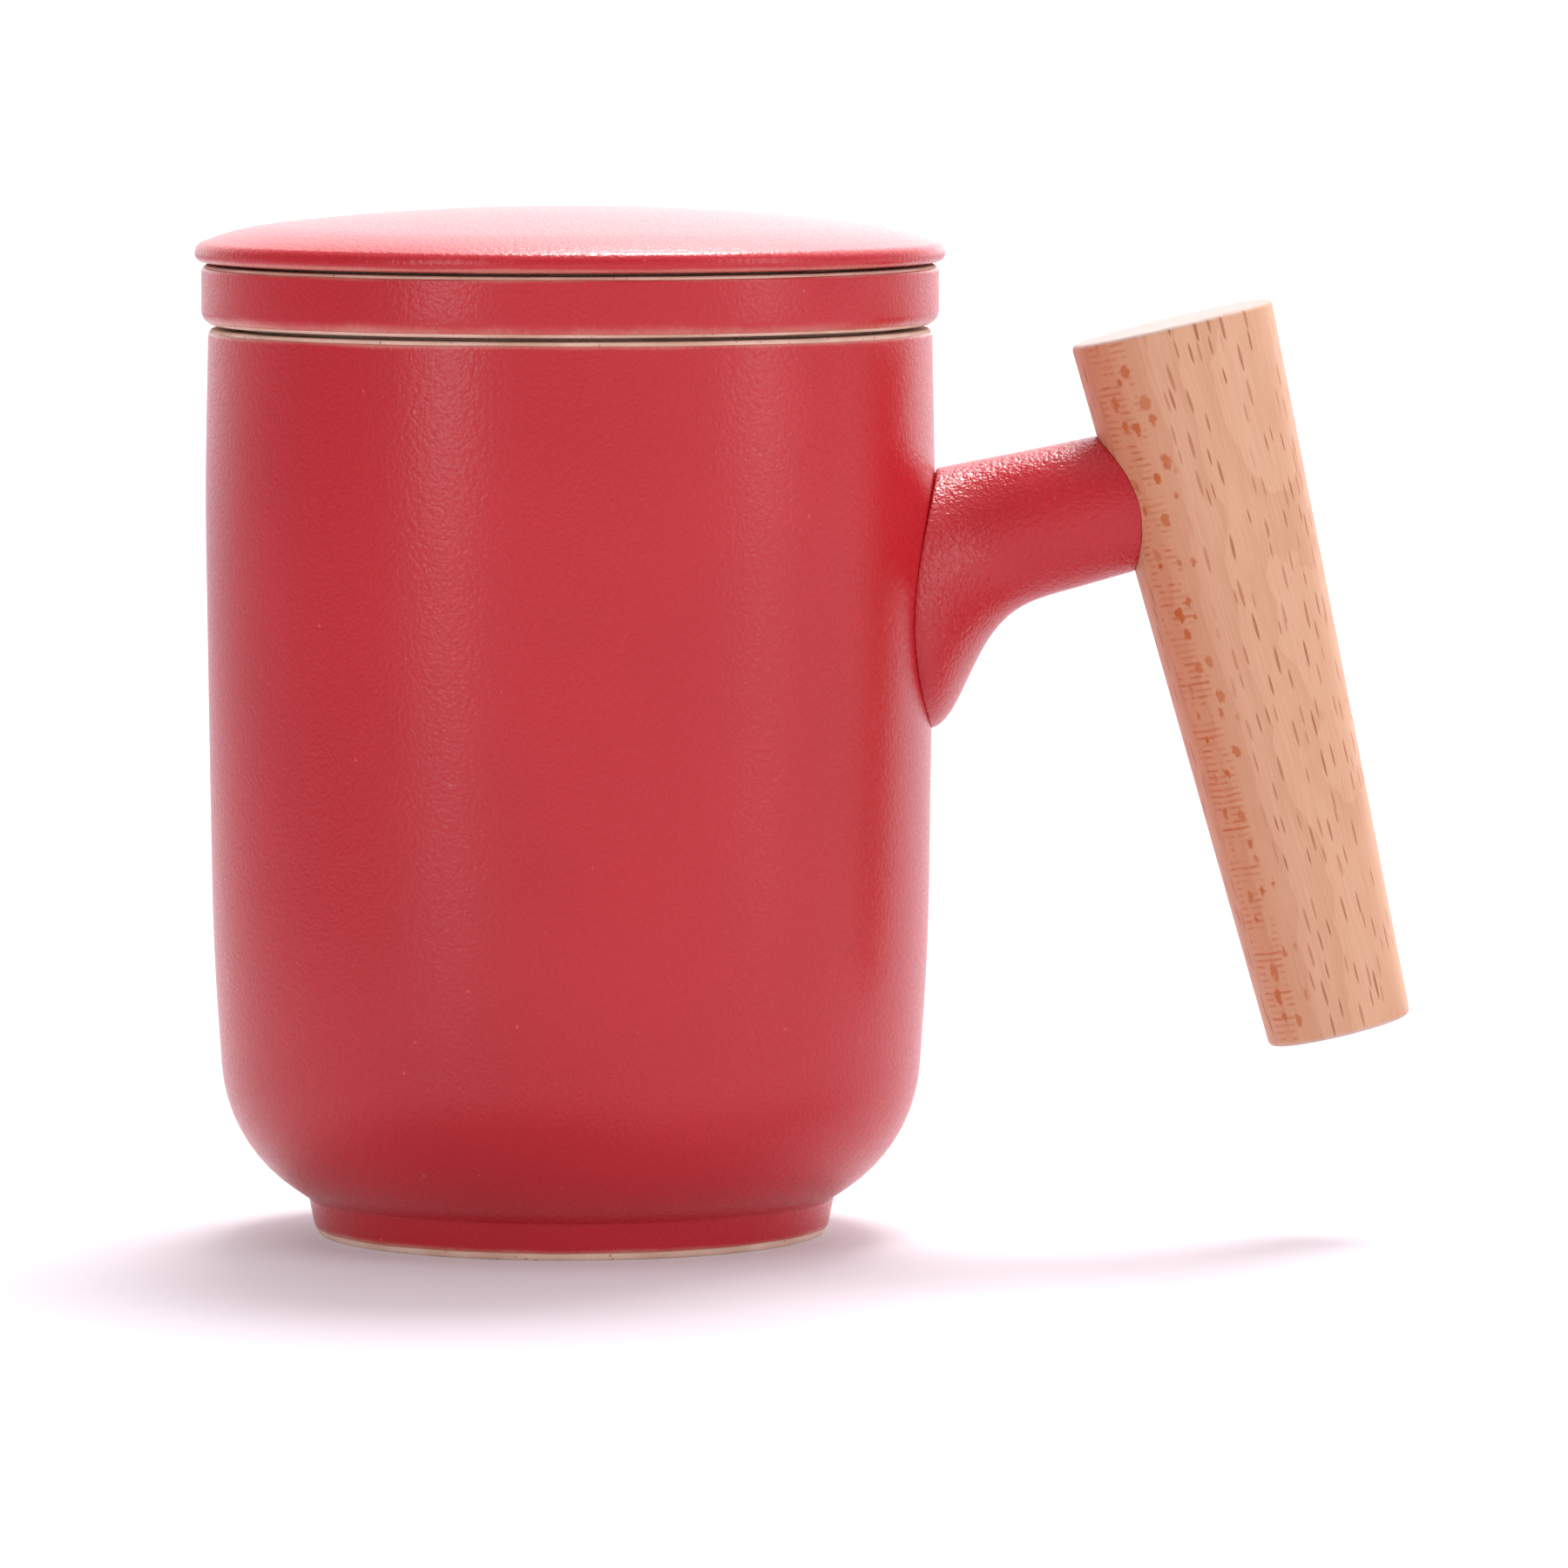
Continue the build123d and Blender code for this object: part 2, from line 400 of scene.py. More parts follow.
class Stoneware:
    """The finishes of the stoneware pieces: each has its own glaze over the same clay and liner."""

    def __init__(self) -> None:
        """Makes the finishes that the pieces share."""
        self.clay = BareClay().make()
        self.liner = LinerGlaze().make()

    def finishes(self, glaze: RedGlaze) -> list[bpy.types.Material]:
        """Gives a piece's materials in the order of Surface."""
        return [glaze.make(), self.clay, self.liner]


@dataclass(frozen=True)
class HandleAxis:
    """Where the grip's axis crosses the stem's, its lean in degrees, and the grip's radius and taper."""

    joint: Place = (74.89, 0.0, 88.45)
    lean: float = 13.55
    radius: float = 11.255
    length: float = 85.7
    thickening: float = 3.55 / 85.7
    end: float = 19.2


@dataclass(frozen=True)
class OvalMarks:
    """Oval marks on a sheet, one to a cell. Their sizes and strengths vary, and some cells stay empty."""

    cell: Point
    half: Point
    shrink: float
    edge: Span
    chance: Span
    least: float

    def shade(self, graph: Graph, sheet: Value, ragged: Number = 0.0) -> Value:
        """Gives the strength of the marks.

        Args:
            graph: The graph to add nodes to.
            sheet: The point on the sheet.
            ragged: How far a mark's outline stands in, as a share of its half sizes.

        Returns:
            The strength at the point, from 0 between marks to at most 1 in the middle of one.
        """
        spot = graph.in_cells(sheet, self.cell)
        nearest = graph.cells(spot, flat=True)
        ends = {0: spot, 1: nearest.other("Position")}
        apart = graph.add("ShaderNodeVectorMath", {"operation": "SUBTRACT"}, ends)
        apart = graph.stretch(apart, (self.cell[0] / self.half[0], self.cell[1] / self.half[1], 0.0))
        reach = graph.add("ShaderNodeVectorMath", {"operation": "LENGTH"}, {0: apart}, "Value")
        luck = graph.add("ShaderNodeSeparateColor", None, {"Color": nearest.other("Color")})
        shape = graph.fade(reach + ragged + self.shrink * luck.other("Green"), *self.edge)
        strength = self.least + (1 - self.least) * luck.other("Blue")
        return shape * graph.fade(luck, *self.chance) * strength


@dataclass(frozen=True)
class Beech(Finish):
    """Oiled beech. Two opposite bands of the turned surface lie along the rays, the rest across them.

    In the bands the rays show as orange spots and as fine rungs, elsewhere as brown dashes along the
    grain. Growth rings show as broad curves. The figure is laid out on a sheet wrapped round the grip, in
    millimetres: X round the grip from the middle of one band, Y along the grip from the joint.
    """

    name: str = "beech"
    axis: HandleAxis = HandleAxis()
    pale: Colour = (0.63, 0.355, 0.216, 1.0)
    tan: Colour = (0.55, 0.278, 0.156, 1.0)
    quarter: Colour = (0.58, 0.28, 0.150, 1.0)
    ray: Colour = (0.34, 0.108, 0.040, 1.0)
    fleck: Colour = (0.47, 0.120, 0.025, 1.0)
    end_pale: Colour = (0.55, 0.46, 0.43, 1.0)
    end_tan: Colour = (0.50, 0.39, 0.35, 1.0)
    turn: float = 231.0
    sheet_radius: float = 10.6
    grain_slope: float = math.tan(math.radians(2.5))
    sway: float = 1.1
    sway_size: float = 20.0
    dashes: OvalMarks = OvalMarks(
        cell=(1.4, 4.4), half=(0.17, 1.5), shrink=0.6, edge=(1.4, 0.9), chance=(0.32, 0.38), least=0.55
    )
    dash_zone: Span = (0.89, 0.96)
    dash_share: float = 0.95
    dash_roughness: float = 0.12
    spots: OvalMarks = OvalMarks(
        cell=(2.2, 3.6), half=(0.62, 0.95), shrink=0.7, edge=(1.3, 0.8), chance=(0.35, 0.42), least=0.7
    )
    spot_ragged: float = 1.8
    spot_ragged_size: float = 0.7
    spot_middle: float = 0.06
    spot_zone: Span = (0.34, 0.2)
    rung_pitch: float = 0.8
    rung_sway: float = 0.8
    rung_sway_size: float = 5.0
    rung_edge: Span = (0.27, 0.12)
    rung_least: float = 0.35
    rung_group: Point = (2.2, 3.4)
    rung_group_edge: Span = (0.42, 0.56)
    rung_middle: float = -0.12
    rung_zone: Span = (0.3, 0.2)
    rung_share: float = 0.75
    fleck_zone: Span = (0.84, 0.90)
    fleck_gloss: float = 0.08
    band_zone: Span = (0.89, 0.97)
    band_share: float = 0.3
    fibre_cell: Point = (0.25, 9.0)
    fibre_fade: Span = (0.3, 0.7)
    fibre_share: float = 0.5
    ring_pitch: float = 3.6
    ring_wave: float = 2.2
    ring_wave_size: float = 16.0
    ring_darkening: Span = (0.35, 0.97)
    ring_line: Span = (1.0, 0.97)
    end_edge: Span = (0.5, 0.1)
    end_ring_share: float = 0.6
    end_roughness: float = 0.85
    pore_size: float = 0.5
    pore_depth: float = 0.03
    pore_fade: Span = (0.4, 0.7)
    roughness: float = 0.48

    def grip_place(self, graph: Graph, place: Value) -> Value:
        """Gives the point in the grip's own frame, turned so that X points to the middle of a band.

        Args:
            graph: The graph to add nodes to.
            place: The point in the part's frame.

        Returns:
            The point in millimetres from the joint, with Z along the grip.
        """
        lean = Matrix.Rotation(math.radians(-self.axis.lean), 3, "Y")
        turn = Matrix.Rotation(math.radians(self.turn), 3, "Z")
        rotation = (lean @ turn).to_euler("XYZ")
        inputs = {"Vector": place, "Location": self.axis.joint, "Rotation": rotation}
        return graph.add("ShaderNodeMapping", {"vector_type": "TEXTURE"}, inputs)

    def sheet_place(self, graph: Graph, turned: Value, angle: Value, along: Value) -> Value:
        """Gives the point on the wrapped sheet, whose grain slopes and sways.

        Args:
            graph: The graph to add nodes to.
            turned: The point in the grip's frame.
            angle: Its angle round the grip from the middle of a band.
            along: Its place along the grip.

        Returns:
            The point on the sheet, in millimetres.
        """
        drift = graph.noise(turned, self.sway_size)
        across = self.sheet_radius * angle + self.grain_slope * along + self.sway * drift
        return graph.add("ShaderNodeCombineXYZ", None, {"X": across, "Y": along})

    def rungs(self, graph: Graph, sheet: Value) -> Value:
        """Gives short rungs across the grain, in loose groups.

        Args:
            graph: The graph to add nodes to.
            sheet: The point on the wrapped sheet.

        Returns:
            The strength at the point, at most 1 in the middle of a rung.
        """
        sway = self.rung_sway * graph.noise(sheet, self.rung_sway_size)
        level = graph.part(sheet, "Y") * (1 / self.rung_pitch) + sway
        offset = graph.math("ABSOLUTE", graph.math("FRACT", level) - 0.5)
        row = graph.math("FLOOR", level)
        luck = graph.add("ShaderNodeTexWhiteNoise", {"noise_dimensions": "1D"}, {"W": row})
        groups = graph.noise(graph.in_cells(sheet, self.rung_group), 1.0)
        strength = self.rung_least + (1 - self.rung_least) * luck
        return graph.fade(offset, *self.rung_edge) * strength * graph.fade(groups, *self.rung_group_edge)

    def flecks(self, graph: Graph, sheet: Value, slant: Value) -> Value:
        """Gives the spots on one side of a band's middle and the rungs on the other.

        Args:
            graph: The graph to add nodes to.
            sheet: The point on the wrapped sheet.
            slant: The sine of the angle from the middle of the band.

        Returns:
            How much of the fleck colour there is, from 0 to 1.
        """
        ragged = graph.noise(sheet, self.spot_ragged_size, detail=3.0) - 0.5
        spots = self.spots.shade(graph, sheet, self.spot_ragged * ragged)
        rungs = self.rung_share * self.rungs(graph, sheet)
        spot_zone = graph.fade(graph.math("ABSOLUTE", slant - self.spot_middle), *self.spot_zone)
        rung_zone = graph.fade(graph.math("ABSOLUTE", slant - self.rung_middle), *self.rung_zone)
        return graph.math("MAXIMUM", spots * spot_zone, rungs * rung_zone)

    def rings(self, graph: Graph, turned: Value, out: Value) -> Value:
        """Gives the growth rings: each darkens slowly towards the bark and ends at a sharp line.

        Args:
            graph: The graph to add nodes to.
            turned: The point in the grip's frame.
            out: Its distance towards the bark.

        Returns:
            The darkness at the point, from 0 to 1.
        """
        wave = graph.noise(turned, self.ring_wave_size, detail=3.0)
        phase = graph.math("FRACT", out * (1 / self.ring_pitch) + self.ring_wave * wave)
        return graph.fade(phase, *self.ring_darkening) * graph.fade(phase, *self.ring_line)

    def ends(self, graph: Graph, along: Value) -> Value:
        """Gives 1 on the grip's two ends and 0 on its side."""
        top, foot, (inner, outer) = self.axis.end, self.axis.end - self.axis.length, self.end_edge
        return graph.fade(along, top - inner, top - outer) + graph.fade(along, foot + inner, foot + outer)

    def shade(self, graph: Graph, place: Value) -> Value:
        """Builds the wood's shader.

        Args:
            graph: The graph to add nodes to.
            place: The point on the surface, in millimetres.

        Returns:
            The wood's surface shader: the turned side, and the end grain at both ends.
        """
        turned = self.grip_place(graph, place)
        across = graph.part(turned, "X")
        out, along = across.other("Y"), across.other("Z")
        angle = graph.math("ARCTAN2", out, across)
        slant = graph.math("SINE", angle)
        facing = graph.math("ABSOLUTE", graph.math("COSINE", angle))
        sheet = self.sheet_place(graph, turned, angle, along)
        dashes = self.dashes.shade(graph, sheet) * (1 - graph.fade(facing, *self.dash_zone))
        flecks = self.flecks(graph, sheet, slant) * graph.fade(facing, *self.fleck_zone)
        fibre = graph.noise(graph.in_cells(sheet, self.fibre_cell), 1.0, detail=3.0)
        rings = self.rings(graph, turned, out)
        pores = graph.noise(turned, self.pore_size, detail=3.0)
        fibres = self.fibre_share * graph.fade(fibre, *self.fibre_fade)
        colour = graph.blend(fibres + (1 - self.fibre_share) * rings, self.pale, self.tan)
        colour = graph.blend(graph.fade(facing, *self.band_zone) * self.band_share, colour, self.quarter)
        colour = graph.blend(dashes * self.dash_share, colour, self.ray)
        colour = graph.blend(flecks, colour, self.fleck)
        relief = self.fibre_share * fibre + (1 - self.fibre_share) * (1 - dashes)
        side = graph.shader(
            {
                "Base Color": colour,
                "Roughness": self.roughness + self.dash_roughness * dashes - self.fleck_gloss * flecks,
                "Normal": graph.bump(relief, self.pore_depth),
            }
        )
        pits = graph.fade(pores, *self.pore_fade)
        grain = self.end_ring_share * rings + (1 - self.end_ring_share) * pits
        end = graph.shader(
            {
                "Base Color": graph.blend(grain, self.end_pale, self.end_tan),
                "Roughness": self.end_roughness,
                "Specular IOR Level": 0.0,
                "Normal": graph.bump(pores, self.pore_depth),
            }
        )
        return graph.add("ShaderNodeMixShader", None, {0: self.ends(graph, along), 1: side, 2: end})


@dataclass(frozen=True)
class CuredGlue(Finish):
    """Clear amber glue in the joint, with small bubbles."""

    name: str = "cured_glue"
    amber: Colour = (0.72, 0.55, 0.30, 1.0)
    milky: Colour = (0.80, 0.72, 0.55, 1.0)
    bubble_spacing: float = 0.8
    bubble_size: float = 0.3
    bubble_depth: float = 0.02
    bubble_roughness: float = 0.2
    roughness: float = 0.3

    def shade(self, graph: Graph, place: Value) -> Value:
        """Builds the glue's shader.

        Args:
            graph: The graph to add nodes to.
            place: The point on the surface, in millimetres.

        Returns:
            The glue's surface shader.
        """
        bubbles = graph.specks(place, self.bubble_spacing, self.bubble_size)
        return graph.shader(
            {
                "Base Color": graph.blend(bubbles, self.amber, self.milky),
                "Roughness": self.roughness + self.bubble_roughness * bubbles,
                "Normal": graph.bump(bubbles, self.bubble_depth),
            }
        )


@dataclass(frozen=True)
class PaleFloor(Finish):
    """Pale floor that looks white in the light and carries painted light: it glows a little of its own to
    lift its shadows, it is tinted mauve for red light bounced off the mug, and it dims to the left as
    painted shade.
    """

    name: str = "pale_floor"
    # The floor's own pale grey, tinted mauve as painted red light bounced off the mug.
    pale: Colour = (0.495, 0.457, 0.483, 1.0)
    # Painted shade: the darker tone that the floor takes far to the left, also tinted mauve as painted
    # bounce light.
    painted_shade: Colour = (0.23, 0.226, 0.258, 1.0)
    painted_shade_from_left: Span = (90.0, 620.0)
    painted_shade_to_back: Span = (2500.0, 800.0)
    # Painted light: how strongly the floor glows of its own, lifting its shadows.
    glow: float = 0.38
    gloss: float = 0.2
    roughness: float = 0.7

    def shade(self, graph: Graph, place: Value) -> Value:
        """Builds the floor's shader.

        Args:
            graph: The graph to add nodes to.
            place: The point on the surface, in millimetres.

        Returns:
            The floor's surface shader.
        """
        right = graph.part(place, "X")
        # Painted shade: the floor turns to the darker tone far to the left, except far behind.
        share = graph.fade(0 - right, *self.painted_shade_from_left)
        share = share * graph.fade(right.other("Y"), *self.painted_shade_to_back)
        colour = graph.blend(share, self.pale, self.painted_shade)
        return graph.shader(
            {
                "Base Color": colour,
                "Roughness": self.roughness,
                "Specular IOR Level": self.gloss,
                # Painted light: the floor glows with its own colour, so the glow is dimmer to the left too.
                "Emission Color": colour,
                "Emission Strength": self.glow,
            }
        )


@dataclass(frozen=True)
class Corner:
    """A corner of a turned outline and how far it is rounded, in millimetres."""

    radius: float
    height: float
    rounding: float = 0.0


class Outline:
    """The half section of a turned piece, walked with the clay on its left."""

    RUN = 2.0
    TURN = math.radians(8.0)
    FINE_RUN = 0.05
    FINE_TURN = math.radians(1.0)
    SMALLEST = 1e-9

    def __init__(self, corners: Sequence[Corner]) -> None:
        """Rounds the corners and measures along the result.

        Args:
            corners: The corners in order, the first and last unrounded.
        """
        self.corners = corners
        self.steps = self._walk(self.RUN, self.TURN)[0]
        self.along, self.radii, self.heights = self._walk(self.FINE_RUN, self.FINE_TURN)

    def _walk(self, run: float, turn: float) -> tuple[np.ndarray, np.ndarray, np.ndarray]:
        """Walks the rounded outline in steps of at most a run and a turn.

        Args:
            run: The longest step, in millimetres.
            turn: The widest step round a corner, in radians.

        Returns:
            Distances along the outline, radii and heights, one of each for every step.
        """
        points = [np.array((corner.radius, corner.height)) for corner in self.corners]
        along, places = [0.0], [points[0]]

        def line_to(end: np.ndarray) -> None:
            """Adds the steps of a straight line.

            Args:
                end: Where the line ends.
            """
            start, base = places[-1], along[-1]
            length = float(np.linalg.norm(end - start))
            count = max(1, math.ceil(length / run))
            for number in range(1, count + 1):
                share = number / count
                places.append(start + (end - start) * share)
                along.append(base + length * share)

        for number in range(1, len(points) - 1):
            here, rounding = points[number], self.corners[number].rounding
            back, forth = points[number - 1] - here, points[number + 1] - here
            back, forth = back / np.linalg.norm(back), forth / np.linalg.norm(forth)
            inside = math.acos(max(-1.0, min(1.0, float(back @ forth))))
            line_to(here + back * (rounding / math.tan(inside / 2)))
            if rounding <= 0:
                continue
            middle = back + forth
            centre = here + middle / np.linalg.norm(middle) * (rounding / math.sin(inside / 2))
            spoke = places[-1] - centre
            bend = math.pi - inside
            side = math.copysign(1.0, -back[0] * forth[1] + back[1] * forth[0])
            count = max(1, math.ceil(bend / turn), math.ceil(bend * rounding / run))
            base = along[-1]
            for step in range(1, count + 1):
                angle = side * bend * step / count
                cosine, sine = math.cos(angle), math.sin(angle)
                swung = (spoke[0] * cosine - spoke[1] * sine, spoke[0] * sine + spoke[1] * cosine)
                places.append(centre + np.array(swung))
                along.append(base + rounding * bend * step / count)
        line_to(points[-1])
        table = np.array(places)
        return np.array(along), table[:, 0], table[:, 1]

    def at(self, along: np.ndarray) -> tuple[np.ndarray, np.ndarray]:
        """Gives the radii and heights at distances along the outline."""
        return np.interp(along, self.along, self.radii), np.interp(along, self.along, self.heights)

    def facing(self, along: float) -> float:
        """Gives how far the surface faces away from the axis.

        Args:
            along: The distance along the outline.

        Returns:
            1 on an upright outside, 0 on a flat, -1 on an upright inside.
        """
        reach = 2 * self.FINE_RUN
        radii, heights = self.at(np.array((along - reach, along + reach)))
        rise, spread = heights[1] - heights[0], radii[1] - radii[0]
        return rise / max(math.hypot(rise, spread), self.SMALLEST)

    def near(self, point: Point) -> float:
        """Gives the distance along the outline of the place nearest to a (radius, height) point."""
        return float(self.along[np.argmin((self.radii - point[0]) ** 2 + (self.heights - point[1]) ** 2)])


@dataclass(frozen=True)
class HandWork:
    """What a maker's hand leaves on stoneware: a glaze edge with a lip, a wavy wipe line, an uneven wall.

    Each of the wall's waves is a count round the piece, a pitch up it, a phase and a share.
    """

    WIPE_WAVES = (2, 5, 9, 17)
    WALL_WAVES = ((2, 31, 0.0, 0.35), (3, -17, 1.1, 0.35), (7, 9.0, 2.3, 0.15), (11, -6.1, 0.4, 0.15))
    glaze_thickness: float = 0.16
    lip_width: float = 0.3
    wipe_wave: float = 0.10
    wipe_width: float = 0.8
    unevenness: float = 0.045

    def lip(self, distance: float) -> float:
        """Gives the share of the glaze's thickness at a distance from its edge: a rounded lip."""
        share = min(max(distance / self.lip_width, 0.0), 1.0)
        return math.sqrt(1 - (1 - share) ** 2)

    def wander(self, angles: np.ndarray, seed: float) -> np.ndarray:
        """Gives how far a wiped glaze line wanders along the outline at each angle, in millimetres."""
        waves = (np.sin(count * angles + seed * count * count) / count ** 0.5 for count in self.WIPE_WAVES)
        return self.wipe_wave * sum(waves) / 2

    def wobble(self, angles: np.ndarray | float, heights: np.ndarray | float) -> np.ndarray:
        """Gives how far an uneven wall stands in.

        Args:
            angles: Angles round the piece.
            heights: Heights on it, in millimetres.

        Returns:
            The changes of radius, in millimetres.
        """
        level = -1.0
        for count, pitch, phase, share in self.WALL_WAVES:
            level = level + share * np.sin(count * angles + heights / pitch + phase)
        return self.unevenness * level


class ClayMesh:
    """The mesh of a stoneware piece, with the finish of each face. Millimetres."""

    def __init__(self, hand: HandWork) -> None:
        """Starts an empty mesh.

        Args:
            hand: What the maker's hand leaves on the piece.
        """
        self.hand = hand
        self.vertices: list[Place] = []
        self.faces: list[tuple[int, ...]] = []
        self.finishes: list[int] = []

    def point(self, x: float, y: float, z: float) -> int:
        """Adds a vertex and gives its number."""
        self.vertices.append((float(x), float(y), float(z)))
        return len(self.vertices) - 1

    def loop(self, places: np.ndarray) -> Ring:
        """Adds a closed loop of vertices and gives their numbers."""
        return [self.point(*place) for place in places]

    def apex(self, place: Sequence[float], count: int) -> Ring:
        """Adds one vertex and gives it as a loop that has shrunk to a point."""
        return [self.point(*place)] * count

    def strip(self, first: Ring, second: Ring, finish: Surface) -> None:
        """Joins two closed loops with faces, or with triangles where a loop is a single point.

        Args:
            first: The first loop's vertices.
            second: The second loop's vertices, as many as the first's.
            finish: The finish of the faces.
        """
        count = len(first)
        for number in range(count):
            after = (number + 1) % count
            face = (first[number], first[after], second[after], second[number])
            self.faces.append(tuple(dict.fromkeys(face)))
            self.finishes.append(finish.value)

    def piece(self, name: str, materials: Sequence[bpy.types.Material]) -> bpy.types.Object:
        """Makes the Blender object.

        Args:
            name: The piece's name.
            materials: One material for each finish, in the order of Surface.

        Returns:
            The new object, in metres, in the part's frame.
        """
        mesh = bpy.data.meshes.new(name)
        mesh.from_pydata([tuple(MM * size for size in place) for place in self.vertices], [], self.faces)
        for material in materials:
            mesh.materials.append(material)
        mesh.polygons.foreach_set("material_index", self.finishes)
        mesh.polygons.foreach_set("use_smooth", [True] * len(self.faces))
        mesh.validate()
        return add_object(name, mesh)


class TurnedClay(ClayMesh):
    """The mesh of a piece turned about the mug's axis."""

    EDGE_STEPS = (-0.5, -0.3, -0.22, -0.15, -0.09, -0.04, 0.0, 0.04, 0.09, 0.15, 0.22, 0.3, 0.5)
    CLOSEST_STEPS = 0.02
    APEX_REACH = 0.01

    def __init__(self, segments: int, hand: HandWork) -> None:
        """Starts an empty mesh.

        Args:
            segments: How many faces go round the piece.
            hand: What the maker's hand leaves on it.
        """
        super().__init__(hand)
        self.segments = segments
        self.angles = np.arange(segments) * 2 * math.pi / segments

    def ring(self, radii: np.ndarray, heights: np.ndarray) -> Ring:
        """Adds a ring of vertices about the axis and gives their numbers."""
        places = (radii * np.cos(self.angles), radii * np.sin(self.angles), heights)
        return self.loop(np.stack(places, axis=1))

    def turn(self, outline: Outline, changes: Sequence[tuple[Point, Surface]]) -> tuple[Ring, Ring]:
        """Turns an outline about the axis.

        Args:
            outline: The half section.
            changes: Where each finish starts, as an outline point and the finish from there on.

        Returns:
            The first and the last ring.
        """
        starts = [outline.near(point) for point, finish in changes]
        kinds = [finish for point, finish in changes]
        edges = starts[1:]
        extra = [edge + step for edge in edges for step in self.EDGE_STEPS]
        last = float(outline.along[-1])
        steps = sorted({round(step, 4) for step in [*outline.steps, *extra] if 0 <= step <= last})
        afters = [*steps[1:], last + 1]
        steps = [step for step, after in zip(steps, afters) if after - step > self.CLOSEST_STEPS]

        def kind_at(step: float) -> Surface:
            """Gives the finish at a distance along the outline."""
            return kinds[max(0, sum(start <= step for start in starts) - 1)]

        hand = self.hand
        runs = zip(starts, [*edges, last], kinds)
        bare = [(start, end) for start, end, kind in runs if kind is Surface.CLAY]
        rings = []
        for step in steps:
            gaps = [max(start - step, step - end, 0.0) for start, end in bare]
            lip = hand.lip(min(gaps, default=hand.lip_width))
            sunk = (lip - 1) * hand.glaze_thickness * outline.facing(step)
            slide = sum(
                hand.wander(self.angles, edge) * math.exp(-(((step - edge) / hand.wipe_width) ** 2))
                for edge in edges
            )
            radii, heights = outline.at(step + slide + 0 * self.angles)
            if radii.max() < self.APEX_REACH:
                rings.append(self.apex((0.0, 0.0, heights[0]), self.segments))
                continue
            radii = radii + sunk + hand.wobble(self.angles, heights) * abs(outline.facing(step))
            rings.append(self.ring(radii, heights))
        for first, second, here, there in zip(rings, rings[1:], steps, steps[1:]):
            self.strip(first, second, kind_at((here + there) / 2))
        return rings[0], rings[-1]


@dataclass
class Cup:
    """The cup: a round wall on a foot ring, red outside and cream inside, bare at the rim and foot."""

    stoneware: Stoneware
    hand: HandWork = field(default_factory=HandWork)
    segments: int = 192
    rim_height: float = field(default_factory=lambda: top_of("mug_body"))
    rim_radius: float = 42.45
    rim_rounding: float = 0.6
    mouth_rounding: float = 1.0
    belly: Point = (42.84, 87.25)
    waist: Point = (42.07, 33.85)
    shoulder: Point = (40.5, 10.78)
    shoulder_rounding: float = 18.7
    belly_rounding: float = 400.0
    waist_rounding: float = 300.0
    foot_top: Point = (31.0, 4.35)
    foot_top_rounding: float = 0.5
    foot_radius: float = 30.1
    foot_width: float = 4.2
    foot_rounding: float = 0.8
    recess_depth: float = 2.6
    recess_rounding: float = 1.5
    wall: float = 4.0
    floor_height: float = 7.6
    cavity_rounding: float = 13.0
    bare_rim: float = 0.42
    bare_mouth: float = 0.8
    bare_foot: float = 0.85
    bare_foot_inside: float = 1.25
    rim_break: float = 0.7
    foot_break: float = 0.8
    rim_margin: float = 1.0

    @property
    def inner_foot(self) -> float:
        """The foot ring's inner radius."""
        return self.foot_radius - self.foot_width

    @property
    def mouth(self) -> float:
        """The radius of the opening at the rim."""
        return self.rim_radius - self.wall

    def outline(self) -> Outline:
        """Gives the half section.

        Returns:
            The outline, from the middle of the recess round to the middle of the inside floor.
        """
        return Outline(
            [
                Corner(0.0, self.recess_depth),
                Corner(self.inner_foot, self.recess_depth, self.recess_rounding),
                Corner(self.inner_foot, 0.0, self.foot_rounding),
                Corner(self.foot_radius, 0.0, self.foot_rounding),
                Corner(*self.foot_top, self.foot_top_rounding),
                Corner(*self.shoulder, self.shoulder_rounding),
                Corner(*self.waist, self.waist_rounding),
                Corner(*self.belly, self.belly_rounding),
                Corner(self.rim_radius, self.rim_height, self.rim_rounding),
                Corner(self.mouth, self.rim_height, self.mouth_rounding),
                Corner(self.belly[0] - self.wall, self.belly[1], self.belly_rounding),
                Corner(self.waist[0] - self.wall, self.waist[1], self.waist_rounding),
                Corner(self.shoulder[0] - self.wall, self.floor_height, self.cavity_rounding),
                Corner(0.0, self.floor_height),
            ]
        )

    def outer_radii(self, heights: np.ndarray) -> np.ndarray:
        """Gives the radii of the outside.

        Args:
            heights: Heights between the foot and the rim.

        Returns:
            One radius for each height.
        """
        outline = self.outline()
        first = outline.near(self.foot_top)
        last = outline.near((self.rim_radius, self.rim_height - self.rim_margin))
        outside = (outline.along >= first) & (outline.along <= last)
        return np.interp(heights, outline.heights[outside], outline.radii[outside])

    def build(self) -> bpy.types.Object:
        """Builds and places the cup.

        Returns:
            The cup, riding on the mug.
        """
        bare_edge = self.rim_height - self.bare_rim
        changes = [
            ((0.0, self.recess_depth), Surface.GLAZE),
            ((self.inner_foot, self.bare_foot_inside), Surface.CLAY),
            ((self.foot_radius, self.bare_foot), Surface.GLAZE),
            ((self.rim_radius, bare_edge), Surface.CLAY),
            ((self.mouth, self.rim_height - self.bare_mouth), Surface.LINER),
        ]
        shape = TurnedClay(self.segments, self.hand)
        shape.turn(self.outline(), changes)
        breaks = ((bare_edge, self.rim_break), (self.bare_foot, self.foot_break))
        made = shape.piece("cup_stoneware", self.stoneware.finishes(RedGlaze("cup_glaze", breaks)))
        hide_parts("mug_body")
        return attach(made, "mug")


